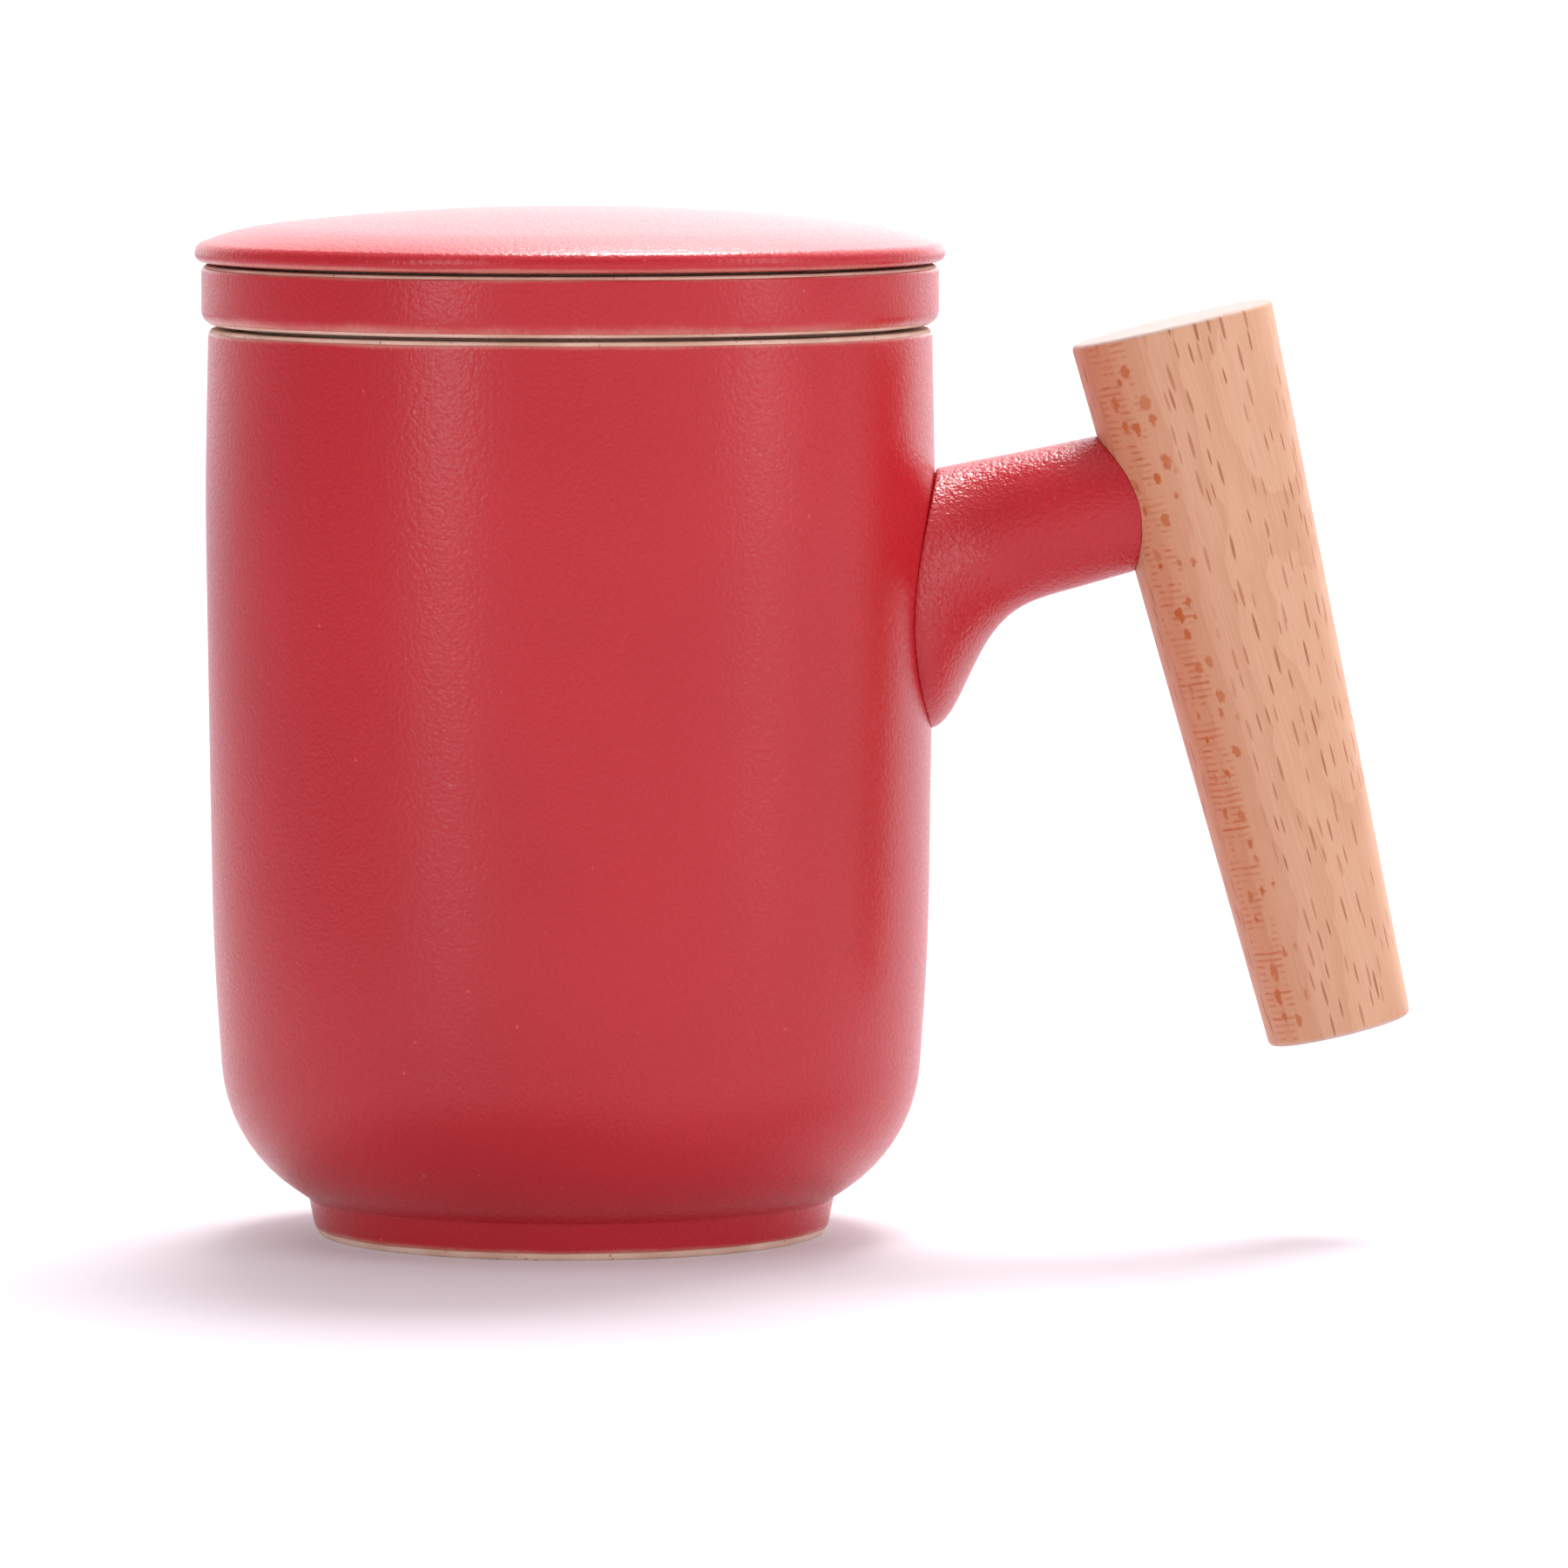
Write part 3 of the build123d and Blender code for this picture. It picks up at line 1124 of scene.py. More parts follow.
class PiercedGrid:
    """The grid of vertices between the holes of a pierced sheet of clay, on both of its faces."""

    def __init__(self, shape: TurnedClay, place: Callable[[bool, float, int], Place]) -> None:
        """Starts without vertices.

        Args:
            shape: The mesh to add to.
            place: Gives the point at an angle and a level, of the inner face or the outer.
        """
        self.shape = shape
        self.place = place
        self.known: dict[tuple[bool, int, int], int] = {}

    def vertex(self, inside: bool, spoke: int, level: int) -> int:
        """Gives a vertex of the grid, which is added the first time.

        Args:
            inside: Whether it lies on the inner face.
            spoke: Its number round the piece.
            level: The number of its ring.

        Returns:
            The vertex's number.
        """
        key = (inside, spoke % self.shape.segments, level)
        if key not in self.known:
            self.known[key] = self.shape.point(*self.place(inside, self.shape.angles[key[1]], level))
        return self.known[key]

    def ring(self, inside: bool, level: int) -> Ring:
        """Gives the ring of vertices at a level of one face."""
        return [self.vertex(inside, spoke, level) for spoke in range(self.shape.segments)]

    @staticmethod
    def cell(left: int, right: int, low: int, high: int) -> list[tuple[int, int]]:
        """Gives the edge of a hole's cell.

        Args:
            left: Its first spoke.
            right: Its last spoke.
            low: Its first level.
            high: Its last level.

        Returns:
            The spoke and level of each point round it.
        """
        edge = [(spoke, low) for spoke in range(left, right)]
        edge += [(right, level) for level in range(low, high)]
        edge += [(spoke, high) for spoke in range(right, left, -1)]
        edge += [(left, level) for level in range(high, low, -1)]
        return edge


@dataclass(frozen=True)
class BandEdges:
    """The four edge rings of the strainer's band of pierced wall."""

    outer_low: Ring
    outer_high: Ring
    inner_low: Ring
    inner_high: Ring


@dataclass
class Strainer:
    """The strainer: a red collar that rests on the cup's rim over a cream basket with round holes."""

    LIP_TURNS = (0.0, 22.5, 45.0, 67.5, 90.0)

    stoneware: Stoneware
    hand: HandWork = field(default_factory=HandWork)
    segments: int = 144
    seat: float = field(default_factory=lambda: top_of("mug_body"))
    collar_top: float = field(default_factory=lambda: top_of("infuser"))
    collar_radius: float = field(default_factory=lambda: reach_of("infuser"))
    basket_bottom: float = field(default_factory=lambda: bottom_of("infuser"))
    basket_top_radius: float = 37.45
    draft: float = math.tan(math.radians(3.0))
    wall: float = 3.0
    floor: float = 3.5
    hole_radius: float = 1.2
    hole_lip: float = 0.45
    ring_pitch: float = 7.0
    floor_rings: int = 3
    holes_per_step: int = 6
    first_row: float = 47.3
    row_pitch: float = 7.0
    wall_rows: int = 4
    row_holes: int = 24
    side_steps: int = 4
    below_first_row: float = 1.9
    neck_rounding: float = 0.5
    seat_radius: float = 39.0
    seam_gap: float = 0.45
    seam_slant: float = 0.5
    seam_rounding: float = 0.3
    collar_lower_rounding: float = 1.7
    collar_upper_rounding: float = 0.7
    mouth_rounding: float = 1.0
    throat_rounding: float = 40.0
    basket_rounding: float = 7.0
    basket_inner_rounding: float = 3.7
    bare_neck: float = 1.2
    bare_under_collar: float = 0.6
    bare_inset: float = 0.4
    bare_over_collar: float = 0.22
    bare_mouth: float = 0.9
    lower_break: float = 1.9
    upper_break: float = 0.6
    join: float = 0.5

    @property
    def mouth(self) -> float:
        """The radius of the opening at the collar."""
        return self.basket_top_radius - self.wall

    @property
    def floor_top(self) -> float:
        """The height of the basket's inside floor."""
        return self.basket_bottom + self.floor

    def outer(self, height: float) -> float:
        """Gives the basket's outer radius at a height."""
        return self.basket_top_radius - (self.seat - height) * self.draft

    def hole_rings(self, depth: float) -> list[Point]:
        """Gives the rings that line a hole, with a softened lip at both ends.

        Args:
            depth: The wall's thickness.

        Returns:
            Each ring's radius and its depth from the outer face.
        """
        near = []
        for turn in map(math.radians, self.LIP_TURNS):
            spread, sunk = self.hole_lip * (1 - math.sin(turn)), self.hole_lip * (1 - math.cos(turn))
            near.append((self.hole_radius + spread, sunk))
        far = [(radius, depth - sunk) for radius, sunk in reversed(near)]
        return near + far

    def pierce(
        self,
        grid: PiercedGrid,
        edge: Sequence[tuple[int, int]],
        directions: Sequence[float],
        centre: Callable[[float, float, float], Place],
        depth: float,
    ) -> None:
        """Lines one hole and fills its cell on both faces.

        Args:
            grid: The grid that the cell lies in.
            edge: The spoke and level of each point round the cell.
            directions: The angle of each of those points as seen from the hole's centre.
            centre: Gives the point at a step across, a step along and a depth from the hole's centre.
            depth: The wall's thickness.
        """
        near, far = ([grid.vertex(inside, *spot) for spot in edge] for inside in (False, True))
        loops = [near]
        for radius, sunk in self.hole_rings(depth):
            spots = [(radius * math.cos(turn), radius * math.sin(turn)) for turn in directions]
            loops.append([grid.shape.point(*centre(*spot, sunk)) for spot in spots])
        loops.append(far)
        for first, second in zip(loops, loops[1:]):
            grid.shape.strip(first, second, Surface.LINER)

    def wall_levels(self) -> list[float]:
        """Gives the heights of the grid between and beside the wall's holes.

        Returns:
            The heights from the bottom up.
        """
        edges = [self.first_row - self.below_first_row]
        edges += [self.first_row + (row + 0.5) * self.row_pitch for row in range(self.wall_rows)]
        levels = [edges[0]]
        count = self.side_steps
        for low, high in zip(edges, edges[1:]):
            levels += [low + (high - low) * step / count for step in range(1, count + 1)]
        return levels

    def on_wall(self, inside: bool, angle: float, level: int) -> Place:
        """Gives a point of the wall's grid.

        Args:
            inside: Whether it lies on the inner face.
            angle: Its angle round the wall.
            level: The number of its ring.

        Returns:
            The point in the part's frame.
        """
        height = self.wall_levels()[level]
        radius = self.outer(height) - inside * self.wall + self.hand.wobble(angle, height)
        return radius * math.cos(angle), radius * math.sin(angle), height

    def in_wall_hole(self, angle: float, height: float, across: float, up: float, sunk: float) -> Place:
        """Gives a point of the lining of a hole in the wall.

        Args:
            angle: The angle of the hole's centre round the wall.
            height: The height of the hole's centre.
            across: The step round the wall from the centre.
            up: The step up from it.
            sunk: The depth from the outer face.

        Returns:
            The point in the part's frame.
        """
        turned = angle + math.asin(across / self.outer(height))
        radius = self.outer(height + up) - sunk + self.hand.wobble(turned, height + up)
        out = math.sqrt(radius * radius - across * across)
        cosine, sine = math.cos(angle), math.sin(angle)
        return out * cosine - across * sine, out * sine + across * cosine, height + up

    def pierced_wall(self, shape: TurnedClay) -> BandEdges:
        """Builds the band of wall with holes.

        Args:
            shape: The mesh to add to.

        Returns:
            Its four edge rings.
        """
        grid = PiercedGrid(shape, self.on_wall)
        levels = self.wall_levels()
        cell = self.segments // self.row_holes
        for row in range(self.wall_rows):
            height = self.first_row + row * self.row_pitch
            pace = self.outer(height) * 2 * math.pi / self.segments
            low = row * self.side_steps
            for hole in range(self.row_holes):
                middle = hole * cell + (row % 2) * cell // 2
                edge = grid.cell(middle - cell // 2, middle + cell // 2, low, low + self.side_steps)
                steps = [((spoke - middle) * pace, levels[level] - height) for spoke, level in edge]
                directions = [math.atan2(up, across) for across, up in steps]
                centre = partial(self.in_wall_hole, middle * 2 * math.pi / self.segments, height)
                self.pierce(grid, edge, directions, centre, self.wall)
        top = len(levels) - 1
        return BandEdges(
            outer_low=grid.ring(False, 0),
            outer_high=grid.ring(False, top),
            inner_low=grid.ring(True, 0),
            inner_high=grid.ring(True, top),
        )

    def on_floor(self, inside: bool, angle: float, level: int) -> Place:
        """Gives a point of the floor's grid.

        Args:
            inside: Whether it lies on the upper face.
            angle: Its angle round the axis.
            level: The number of its ring.

        Returns:
            The point in the part's frame.
        """
        radius = (level / self.side_steps + 0.5) * self.ring_pitch
        height = self.basket_bottom + inside * self.floor
        return radius * math.cos(angle), radius * math.sin(angle), height

    def in_floor_hole(self, x: float, y: float, right: float, back: float, sunk: float) -> Place:
        """Gives a point of the lining of a hole in the floor, from its centre and the steps from there."""
        return x + right, y + back, self.basket_bottom + sunk

    def pierced_floor(self, shape: TurnedClay) -> tuple[Ring, Ring]:
        """Builds the round of floor with holes.

        Args:
            shape: The mesh to add to.

        Returns:
            Its rim on the underside and its rim on the upper side.
        """
        grid = PiercedGrid(shape, self.on_floor)
        cells = [([(spoke, 0) for spoke in range(self.segments, 0, -1)], 0.0, 0.0)]
        for ring in range(1, self.floor_rings + 1):
            holes = ring * self.holes_per_step
            cell = self.segments // holes
            low = (ring - 1) * self.side_steps
            radius = ring * self.ring_pitch
            for hole in range(holes):
                middle, angle = hole * cell, hole * 2 * math.pi / holes
                edge = grid.cell(middle - cell // 2, middle + cell // 2, low, low + self.side_steps)
                cells.append((edge, radius * math.cos(angle), radius * math.sin(angle)))
        for edge, x, y in cells:
            spots = [shape.vertices[grid.vertex(False, *corner)] for corner in edge]
            directions = [math.atan2(spot[1] - y, spot[0] - x) for spot in spots]
            self.pierce(grid, edge, directions, partial(self.in_floor_hole, x, y), self.floor)
        last = self.floor_rings * self.side_steps
        return grid.ring(False, last), grid.ring(True, last)

    def upper_outline(self, high: float) -> Outline:
        """Gives the half section above the band of holes.

        Args:
            high: The height at which it starts outside and ends inside.

        Returns:
            The outline, from the outside over the collar to the inside.
        """
        seam = self.seat + self.seam_gap
        return Outline(
            [
                Corner(self.outer(high), high),
                Corner(self.basket_top_radius, self.seat, self.neck_rounding),
                Corner(self.seat_radius, self.seat, self.seam_rounding),
                Corner(self.seat_radius + self.seam_slant, seam, self.seam_rounding),
                Corner(self.collar_radius, seam, self.collar_lower_rounding),
                Corner(self.collar_radius, self.collar_top, self.collar_upper_rounding),
                Corner(self.mouth, self.collar_top, self.mouth_rounding),
                Corner(self.mouth, self.seat, self.throat_rounding),
                Corner(self.outer(high) - self.wall, high),
            ]
        )

    def build(self) -> bpy.types.Object:
        """Builds and places the strainer.

        Returns:
            The strainer, riding on its own body.
        """
        shape = TurnedClay(self.segments, self.hand)
        band = self.pierced_wall(shape)
        under_rim, upper_rim = self.pierced_floor(shape)
        levels = self.wall_levels()
        low, high = levels[0] - self.join, levels[-1] + self.join
        zone = (self.floor_rings + 0.5) * self.ring_pitch + self.join
        lower = Outline(
            [
                Corner(zone, self.basket_bottom),
                Corner(self.outer(self.basket_bottom), self.basket_bottom, self.basket_rounding),
                Corner(self.outer(low), low),
            ]
        )
        inside = Outline(
            [
                Corner(self.outer(low) - self.wall, low),
                Corner(self.outer(self.floor_top) - self.wall, self.floor_top, self.basket_inner_rounding),
                Corner(zone, self.floor_top),
            ]
        )
        lower_edge = self.seat + self.bare_under_collar
        upper_edge = self.collar_top - self.bare_over_collar
        changes = [
            ((self.outer(high), high), Surface.LINER),
            ((self.basket_top_radius, self.seat - self.bare_neck), Surface.CLAY),
            ((self.collar_radius - self.bare_inset, lower_edge), Surface.GLAZE),
            ((self.collar_radius, upper_edge), Surface.CLAY),
            ((self.mouth, self.collar_top - self.bare_mouth), Surface.LINER),
        ]
        first, last = shape.turn(self.upper_outline(high), changes)
        shape.strip(band.outer_high, first, Surface.LINER)
        shape.strip(last, band.inner_high, Surface.LINER)
        first, last = shape.turn(lower, [((zone, self.basket_bottom), Surface.LINER)])
        shape.strip(under_rim, first, Surface.LINER)
        shape.strip(last, band.outer_low, Surface.LINER)
        first, last = shape.turn(inside, [((self.outer(low) - self.wall, low), Surface.LINER)])
        shape.strip(band.inner_low, first, Surface.LINER)
        shape.strip(last, upper_rim, Surface.LINER)
        glaze = RedGlaze("collar_glaze", ((lower_edge, self.lower_break), (upper_edge, self.upper_break)))
        made = shape.piece("strainer_stoneware", self.stoneware.finishes(glaze))
        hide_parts("infuser")
        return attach(made, "infuser")


@dataclass
class Lid:
    """The lid: a low dome that turns down to a round edge, with a bare seat and a ring underneath."""

    stoneware: Stoneware
    hand: HandWork = field(default_factory=HandWork)
    segments: int = 192
    seat: float = field(default_factory=lambda: top_of("infuser"))
    top: float = field(default_factory=lambda: top_of("lid"))
    bottom: float = field(default_factory=lambda: bottom_of("lid"))
    radius: float = field(default_factory=lambda: reach_of("lid"))
    edge_rounding: float = 1.4
    edge_slope: float = math.radians(22.0)
    shoulder_width: float = 7.7
    dome_rounding: float = 300.0
    wall: float = 4.0
    under_flat: float = 0.5
    under_corner: float = 0.3
    ring_radius: float = 33.65
    ring_width: float = 3.0
    ring_rounding: float = 0.8
    ring_root: float = 0.4
    seat_radius: float = 38.5
    seam_gap: float = 0.40
    seam_slant: float = 0.5
    seam_rounding: float = 0.3
    bare_ring: float = 1.0
    bare_past_seat: float = 1.0
    edge_break: float = 0.5
    skin_depth: float = 0.11

    def outline(self) -> Outline:
        """Gives the half section.

        Returns:
            The outline, from the middle of the underside round to the middle of the dome.
        """
        edge_radius = self.radius - self.edge_rounding * (1 - math.sin(self.edge_slope))
        edge_height = self.seat + self.edge_rounding * (1 + math.cos(self.edge_slope))
        edge_run = (self.radius - edge_radius) / math.cos(self.edge_slope)
        dome_end = edge_radius - self.shoulder_width
        dome_turn = math.asin(dome_end / self.dome_rounding)
        shoulder_rounding = self.shoulder_width / (math.sin(self.edge_slope) - math.sin(dome_turn))
        shoulder_cut = shoulder_rounding * math.tan((self.edge_slope - dome_turn) / 2)
        under_rounding = self.dome_rounding - self.wall
        ring_inner = self.ring_radius - self.ring_width
        under_turn = math.asin((ring_inner - self.under_flat) / under_rounding)
        under_drop = under_rounding * (1 - math.cos(under_turn)) + self.under_flat * math.tan(under_turn)
        under_top = self.top - self.wall
        seam = self.seat + self.seam_gap
        return Outline(
            [
                Corner(0.0, under_top),
                Corner(under_rounding * math.tan(under_turn / 2), under_top, under_rounding),
                Corner(ring_inner, under_top - under_drop, self.under_corner),
                Corner(ring_inner, self.bottom, self.ring_rounding),
                Corner(self.ring_radius, self.bottom, self.ring_rounding),
                Corner(self.ring_radius, self.seat, self.ring_root),
                Corner(self.seat_radius, self.seat, self.seam_rounding),
                Corner(self.seat_radius + self.seam_slant, seam, self.seam_rounding),
                Corner(self.radius, seam, self.edge_rounding - self.seam_gap),
                Corner(self.radius, edge_height - edge_run * math.sin(self.edge_slope), self.edge_rounding),
                Corner(
                    edge_radius - shoulder_cut * math.cos(self.edge_slope),
                    edge_height + shoulder_cut * math.sin(self.edge_slope),
                    shoulder_rounding,
                ),
                Corner(self.dome_rounding * math.tan(dome_turn / 2), self.top, self.dome_rounding),
                Corner(0.0, self.top),
            ]
        )

    def build(self) -> bpy.types.Object:
        """Builds and places the lid.

        Returns:
            The lid, riding on its own body.
        """
        seam = self.seat + self.seam_gap
        changes = [
            ((0.0, self.top - self.wall), Surface.LINER),
            ((self.ring_radius, self.seat - self.bare_ring), Surface.CLAY),
            ((self.seat_radius + self.bare_past_seat, seam), Surface.GLAZE),
        ]
        shape = TurnedClay(self.segments, self.hand)
        shape.turn(self.outline(), changes)
        breaks = ((seam + self.edge_break / 2, self.edge_break),)
        glaze = RedGlaze("lid_glaze", breaks, peel_depth=self.skin_depth)
        made = shape.piece("lid_stoneware", self.stoneware.finishes(glaze))
        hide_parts("lid")
        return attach(made, "lid")


@dataclass
class Stem:
    """The stem: an oval bar, square to the grip, that flares down and sideways to the cup's wall.

    Places are measured along the stem from the joint with the grip's axis, negative towards the cup.
    Each of its waves is a count round the stem and a pitch along it.
    """

    SEAM_TURNS = (0.0, 18.0, 36.0, 54.0, 72.0, 90.0)
    SHOULDER_SHARES = (0.3, 0.65, 1.0)
    WAVES = ((3, 5), (5, -3.1))
    HALVINGS = 40

    stoneware: Stoneware
    cup: Cup
    axis: HandleAxis = HandleAxis()
    hand: HandWork = field(default_factory=HandWork)
    segments: int = 128
    body_rings: int = 56
    trace_steps: int = 400
    half_height: float = 8.3
    half_width: float = 7.3
    taper: float = math.tan(math.radians(2.0))
    flare_drop: float = 11.4
    flare_spread: float = 6.3
    flare_length: float = 19.5
    flare_past_wall: float = 5.4
    flare_lateness: float = 1.7
    root_depth: float = 8.0
    root_sink: float = 0.3
    grip_room: float = 4.0
    seam_rounding: float = 0.5
    seam_rounding_below: float = 0.12
    grip_seam_rounding: float = 0.3
    shoulder_gap: float = 0.02
    tenon_radius: float = 4.5
    tenon_length: float = 13.0
    tenon_chamfer: float = 0.6
    skin_depth: float = 0.2

    def __post_init__(self) -> None:
        """Works out the handle's directions and the angles round the stem."""
        lean = math.radians(self.axis.lean)
        self.along = np.array((math.cos(lean), 0.0, math.sin(lean)))
        self.up = np.array((-math.sin(lean), 0.0, math.cos(lean)))
        self.side = np.array((0.0, 1.0, 0.0))
        self.turns = np.arange(self.segments) * 2 * math.pi / self.segments
        wall = (self.cup.belly[0] - self.axis.joint[0]) / math.cos(lean)
        self.flare_end = wall - self.flare_past_wall
        self.tenon_end = self.tenon_length - self.axis.radius

    def flare(self, place: np.ndarray) -> np.ndarray:
        """Gives how far the flare has opened at places: 0 at its start, 1 at its end."""
        share = np.clip((self.flare_end + self.flare_length - place) / self.flare_length, 0, 1)
        return np.sin(math.pi / 2 * share ** self.flare_lateness) ** 2

    def section(
        self, place: np.ndarray, inset: np.ndarray | float = 0.0
    ) -> tuple[np.ndarray, np.ndarray]:
        """Gives the oval section's points.

        Args:
            place: The place along the stem of the point at each turn.
            inset: How far each point lies inside the oval.

        Returns:
            How far up along the grip and how far sideways each point lies.
        """
        open_share = self.flare(place)
        thicker = (-self.axis.radius - place) * self.taper
        drop = self.flare_drop * open_share
        tall = self.half_height + thicker + drop / 2
        wide = self.half_width + thicker + self.flare_spread * open_share
        sine, cosine = np.sin(self.turns), np.cos(self.turns)
        length = np.hypot(sine / tall, cosine / wide)
        up = tall * sine - drop / 2 - inset * sine / tall / length
        side = wide * cosine - inset * cosine / wide / length
        return up, side

    def points(self, place: np.ndarray, up: np.ndarray, side: np.ndarray) -> np.ndarray:
        """Gives points of the stem's frame in the part's frame."""
        ways = ((place, self.along), (up, self.up), (side, self.side))
        return np.array(self.axis.joint) + sum(size[..., None] * way for size, way in ways)

    def grip_face(self, up: np.ndarray, side: np.ndarray) -> np.ndarray:
        """Gives the places where the grip's turned surface lies, at points of the section."""
        return -np.sqrt((self.axis.radius + self.axis.thickening * up) ** 2 - side ** 2)

    def meet(self, outside: Callable[[np.ndarray], np.ndarray], far: float, near: float) -> np.ndarray:
        """Finds where the stem's surface meets another, by halving.

        Args:
            outside: Tells for places whether the stem's points there lie on the near side.
            far: A place on the far side at every turn.
            near: A place on the near side at every turn.

        Returns:
            The place of the meeting at each turn.
        """
        low, high = np.full(self.segments, far), np.full(self.segments, near)
        for step in range(self.HALVINGS):
            middle = (low + high) / 2
            past = outside(middle)
            high, low = np.where(past, middle, high), np.where(past, low, middle)
        return (low + high) / 2

    def ends(self) -> tuple[np.ndarray, np.ndarray]:
        """Finds the stem's two ends.

        Returns:
            The places where it meets the cup's wall, and those where it meets the grip, at each turn.
        """

        def clear_of_cup(place: np.ndarray) -> np.ndarray:
            """Tells for places whether the stem's points there lie outside the cup."""
            places = self.points(place, *self.section(place))
            return np.hypot(places[:, 0], places[:, 1]) > self.cup.outer_radii(places[:, 2])

        def inside_grip(place: np.ndarray) -> np.ndarray:
            """Tells for places whether the stem's points there lie inside the grip."""
            return place > self.grip_face(*self.section(place))

        before_grip = -self.axis.radius - self.grip_room
        at_cup = self.meet(clear_of_cup, self.flare_end - self.root_depth, before_grip)
        at_grip = self.meet(inside_grip, before_grip, -self.axis.radius / 3)
        return at_cup, at_grip

    def steps(self, length: np.ndarray) -> list[tuple[np.ndarray, np.ndarray | float]]:
        """Gives the body's rings, close together where its ends are rounded.

        Args:
            length: The length of each turn's line from the cup to the grip.

        Returns:
            Each ring's distances from the cup along the lines, and its insets.
        """
        turns = [math.radians(turn) for turn in self.SEAM_TURNS]
        above, last = (1 + np.sin(self.turns)) / 2, self.grip_seam_rounding
        first = self.seam_rounding * above + self.seam_rounding_below * (1 - above)
        rings = [(first * (1 - math.cos(turn)), first * (1 - math.sin(turn))) for turn in turns]
        clear = length - first - last
        rings += [(first + clear * ring / self.body_rings, 0.0) for ring in range(1, self.body_rings)]
        for turn in reversed(turns):
            rings.append((length - last * (1 - math.cos(turn)), last * (1 - math.sin(turn))))
        return rings

    def body(self, at_cup: np.ndarray, at_grip: np.ndarray) -> list[np.ndarray]:
        """Gives the loops of points of the stem's body.

        Args:
            at_cup: Where the stem meets the cup's wall, at each turn.
            at_grip: Where it meets the grip.

        Returns:
            The loops from the cup to the grip.
        """
        shares = np.linspace(0, 1, self.trace_steps)[:, None]
        places = at_cup + (at_grip - at_cup) * shares
        lines = np.array([self.points(place, *self.section(place)) for place in places])
        runs = np.linalg.norm(np.diff(lines, axis=0), axis=2)
        walked = np.concatenate((np.zeros((1, self.segments)), np.cumsum(runs, axis=0)))
        loops = []
        for distance, inset in self.steps(walked[-1]):
            spots = [np.interp(distance[n], walked[:, n], places[:, n]) for n in range(self.segments)]
            place = np.array(spots)
            waves = sum(np.sin(count * self.turns + place / pitch) for count, pitch in self.WAVES)
            uneven = self.hand.unevenness * (1 + waves / 2)
            loops.append(self.points(place, *self.section(place, inset + uneven)))
        return loops

    def tenon(self, at_grip: np.ndarray) -> list[np.ndarray]:
        """Gives the loops of points of the joint's shoulder and the tenon.

        Args:
            at_grip: Where the stem meets the grip, at each turn.

        Returns:
            The loops from the grip's surface to the tenon's end.
        """
        edge_up, edge_side = self.section(at_grip, self.grip_seam_rounding)
        round_up = self.tenon_radius * np.sin(self.turns)
        round_side = self.tenon_radius * np.cos(self.turns)
        loops = []
        for share in self.SHOULDER_SHARES:
            up = edge_up + (round_up - edge_up) * share
            side = edge_side + (round_side - edge_side) * share
            loops.append(self.points(self.grip_face(up, side) - self.shoulder_gap, up, side))
        slim = 1 - self.tenon_chamfer / self.tenon_radius
        for end, share in ((self.tenon_end - self.tenon_chamfer, 1.0), (self.tenon_end, slim)):
            loops.append(self.points(np.full(self.segments, end), share * round_up, share * round_side))
        return loops

    def build(self) -> bpy.types.Object:
        """Builds and places the stem.

        Returns:
            The stem, riding on the mug.
        """
        at_cup, at_grip = self.ends()
        body = self.body(at_cup, at_grip)
        root = body[0] - self.root_sink * self.along
        loops = [root, *body, *self.tenon(at_grip)]
        shape = ClayMesh(self.hand)
        rings = [shape.loop(loop) for loop in loops]
        rings.insert(0, shape.apex(root.mean(axis=0), self.segments))
        rings.append(shape.apex(loops[-1].mean(axis=0), self.segments))
        for first, second in zip(rings, rings[1:]):
            shape.strip(first, second, Surface.GLAZE)
        glaze = RedGlaze("stem_glaze", peel_depth=self.skin_depth)
        made = shape.piece("stem_stoneware", self.stoneware.finishes(glaze))
        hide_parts("handle_stem")
        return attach(made, "mug")


@dataclass
class Grip:
    """The turned beech grip and the glue in its mortise, which keep their own solids."""

    wood: bpy.types.Material
    glue: bpy.types.Material

    def dress(self) -> list[bpy.types.Object]:
        """Gives the two solids their finishes.

        Returns:
            The dressed nodes.
        """
        dressed = []
        for node, material, slot in (
            ("handle_grip", self.wood, "beech"),
            ("handle_adhesive", self.glue, "adhesive"),
        ):
            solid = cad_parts[node]
            solid.material_slots[0].material = material
            dressed.append(solid)
        return dressed


def hang_light(lamp: bpy.types.Light, place: Vector, aim: Vector) -> bpy.types.Object:
    """Adds a light to the scene.

    Args:
        lamp: The light.
        place: Where it hangs.
        aim: The point that it faces.

    Returns:
        The light's object.
    """
    made = add_object(lamp.name, lamp)
    made.location = place
    made.rotation_euler = (aim - place).to_track_quat("-Z", "Y").to_euler()
    return made


@dataclass(frozen=True)
class SoftBox:
    """One soft studio light, aimed at the mug. Metres and watts."""

    name: str
    place: Place
    width: float
    height: float
    power: float
    aim: Place = (0.02, 0.0, 0.06)

    def hang(self) -> bpy.types.Object:
        """Adds the light.

        Returns:
            The light's object.
        """
        lamp = bpy.data.lights.new(self.name, "AREA")
        lamp.shape = "RECTANGLE"
        lamp.size, lamp.size_y = self.width, self.height
        lamp.energy = self.power
        return hang_light(lamp, Vector(self.place), Vector(self.aim))


@dataclass(frozen=True)
class KeyLight:
    """A far light behind the mug, whose shadow falls softly towards the viewer. Degrees and W/m2."""

    name: str
    elevation: float
    bearing: float
    strength: float
    spread: float

    def hang(self) -> bpy.types.Object:
        """Adds the light.

        Returns:
            The light's object.
        """
        lamp = bpy.data.lights.new(self.name, "SUN")
        lamp.energy = self.strength
        lamp.angle = math.radians(self.spread)
        rise, turn = math.radians(self.elevation), math.radians(self.bearing)
        source = (math.cos(rise) * math.sin(turn), math.cos(rise) * math.cos(turn), math.sin(rise))
        return hang_light(lamp, Vector(source), Vector())


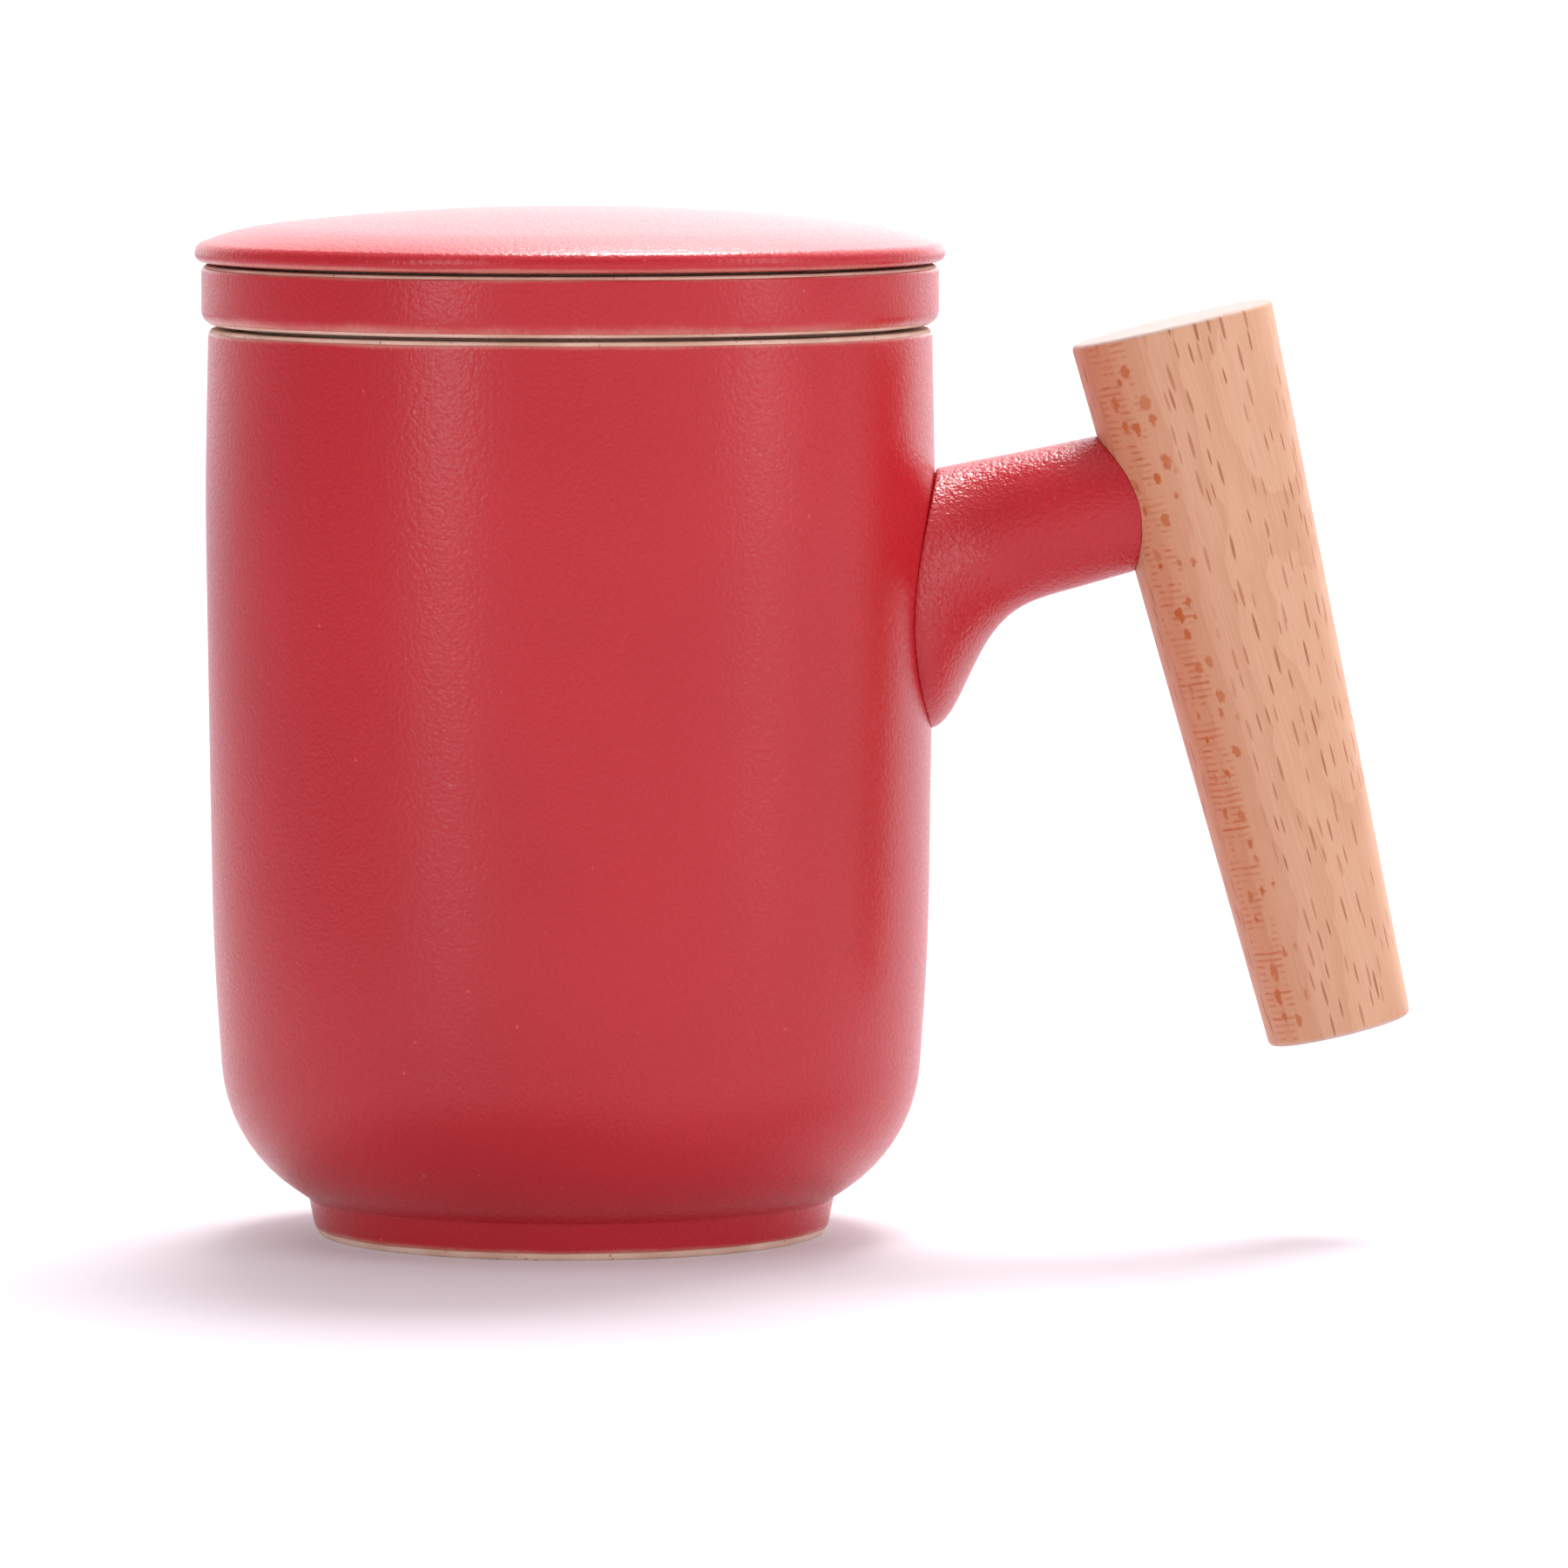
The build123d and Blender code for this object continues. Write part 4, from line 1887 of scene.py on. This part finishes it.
@dataclass(frozen=True)
class Glow:
    """A bright part of the surround: its strength, and over which directions it fades in, from 0 to 1."""

    strength: float
    back: Span | None = None
    up: Span | None = None
    right: Span | None = None

    def shade(self, graph: Graph, right: Value, back: Value, up: Value) -> Value:
        """Gives the light of this part.

        Args:
            graph: The graph to add nodes to.
            right: How far a direction points to the right.
            back: How far it points to the back.
            up: How far it points up.

        Returns:
            The light in that direction.
        """
        light = self.strength
        for way, span in ((back, self.back), (up, self.up), (right, self.right)):
            if span:
                light = light * graph.fade(way, *span)
        return light


@dataclass
class Studio:
    """A white floor, a pale surround, soft boxes, and the camera at the photograph's angle."""

    floor_finish: bpy.types.Material
    floor_half: float = 30.0
    floor_height: float = -2e-5
    tint: Colour = (1.0, 0.955, 0.985, 1.0)
    side_light: float = 0.36
    glows: Sequence[Glow] = (
        Glow(1.43, back=(0.5, 1.0)),
        Glow(0.77, back=(0.5, 1.0), right=(-0.1, 0.1)),
        Glow(2.5, back=(0.05, 0.35), up=(0.25, 0.75), right=(-0.35, 0.05)),
        Glow(0.48, back=(-0.1, -0.8), up=(0.55, 0.15)),
        Glow(0.32, right=(0.0, 0.8)),
        Glow(0.7, up=(0.6, 0.95)),
    )
    camera_place: Place = (0.02505, -1.34575, 0.16006)
    camera_pitch: float = 4.557
    lens: float = 263.78
    sensor: float = 36.0
    clip: Span = (0.05, 100.0)
    lights: Sequence[KeyLight | SoftBox] = (
        KeyLight("key_light", 64.0, 16.0, 3.1, 24.0),
        SoftBox("left_box", (-0.74, -0.95, 0.45), 0.26, 0.9, 3.3),
        SoftBox("right_box", (1.07, -0.54, 0.50), 0.28, 0.9, 2.9),
    )

    def floor(self) -> bpy.types.Object:
        """Lays the floor.

        Returns:
            The floor.
        """
        half = self.floor_half
        corners = [(-half, -half), (half, -half), (half, half), (-half, half)]
        mesh = bpy.data.meshes.new("studio_floor")
        mesh.from_pydata([(*corner, self.floor_height) for corner in corners], [], [(0, 1, 2, 3)])
        mesh.materials.append(self.floor_finish)
        made = add_object("studio_floor", mesh)
        return made

    def surround(self) -> None:
        """Lights the scene with a surround, brightest high behind the mug and dim above the viewer."""
        world = bpy.data.worlds.new("studio_surround")
        world.use_nodes = True
        bpy.context.scene.world = world
        graph = Graph(world.node_tree)
        direction = graph.add("ShaderNodeTexCoord", output="Generated")
        right = graph.part(direction, "X")
        back, up = right.other("Y"), right.other("Z")
        strength = self.side_light
        for glow in self.glows:
            strength = strength + glow.shade(graph, right, back, up)
        light = graph.add("ShaderNodeBackground", None, {"Color": self.tint, "Strength": strength})
        graph.add("ShaderNodeOutputWorld", None, {"Surface": light})

    def camera(self) -> bpy.types.Object:
        """Sets the camera as the photograph was taken.

        Returns:
            The camera's object.
        """
        lens = bpy.data.cameras.new("photo_camera")
        lens.lens, lens.sensor_width = self.lens, self.sensor
        lens.clip_start, lens.clip_end = self.clip
        made = add_object("photo_camera", lens)
        made.location = self.camera_place
        made.rotation_euler = (math.radians(90 - self.camera_pitch), 0.0, 0.0)
        bpy.context.scene.camera = made
        return made

    def build(self) -> None:
        """Builds the floor, the light and the camera, and sets how brightness becomes colour."""
        self.floor()
        self.surround()
        for light in self.lights:
            light.hang()
        self.camera()
        bpy.context.scene.view_settings.view_transform = "Standard"


def main() -> None:
    """Builds the studio and every piece of the mug in order."""
    logging.basicConfig(level=logging.INFO)
    Studio(PaleFloor().make()).build()
    stoneware = Stoneware()
    cup = Cup(stoneware)
    pieces = [part.build() for part in (cup, Strainer(stoneware), Lid(stoneware), Stem(stoneware, cup))]
    pieces += Grip(Beech().make(), CuredGlue().make()).dress()
    for piece in pieces:
        log.info("%s: %d faces", piece.name, len(piece.data.polygons))


if __name__ == "__main__":
    main()
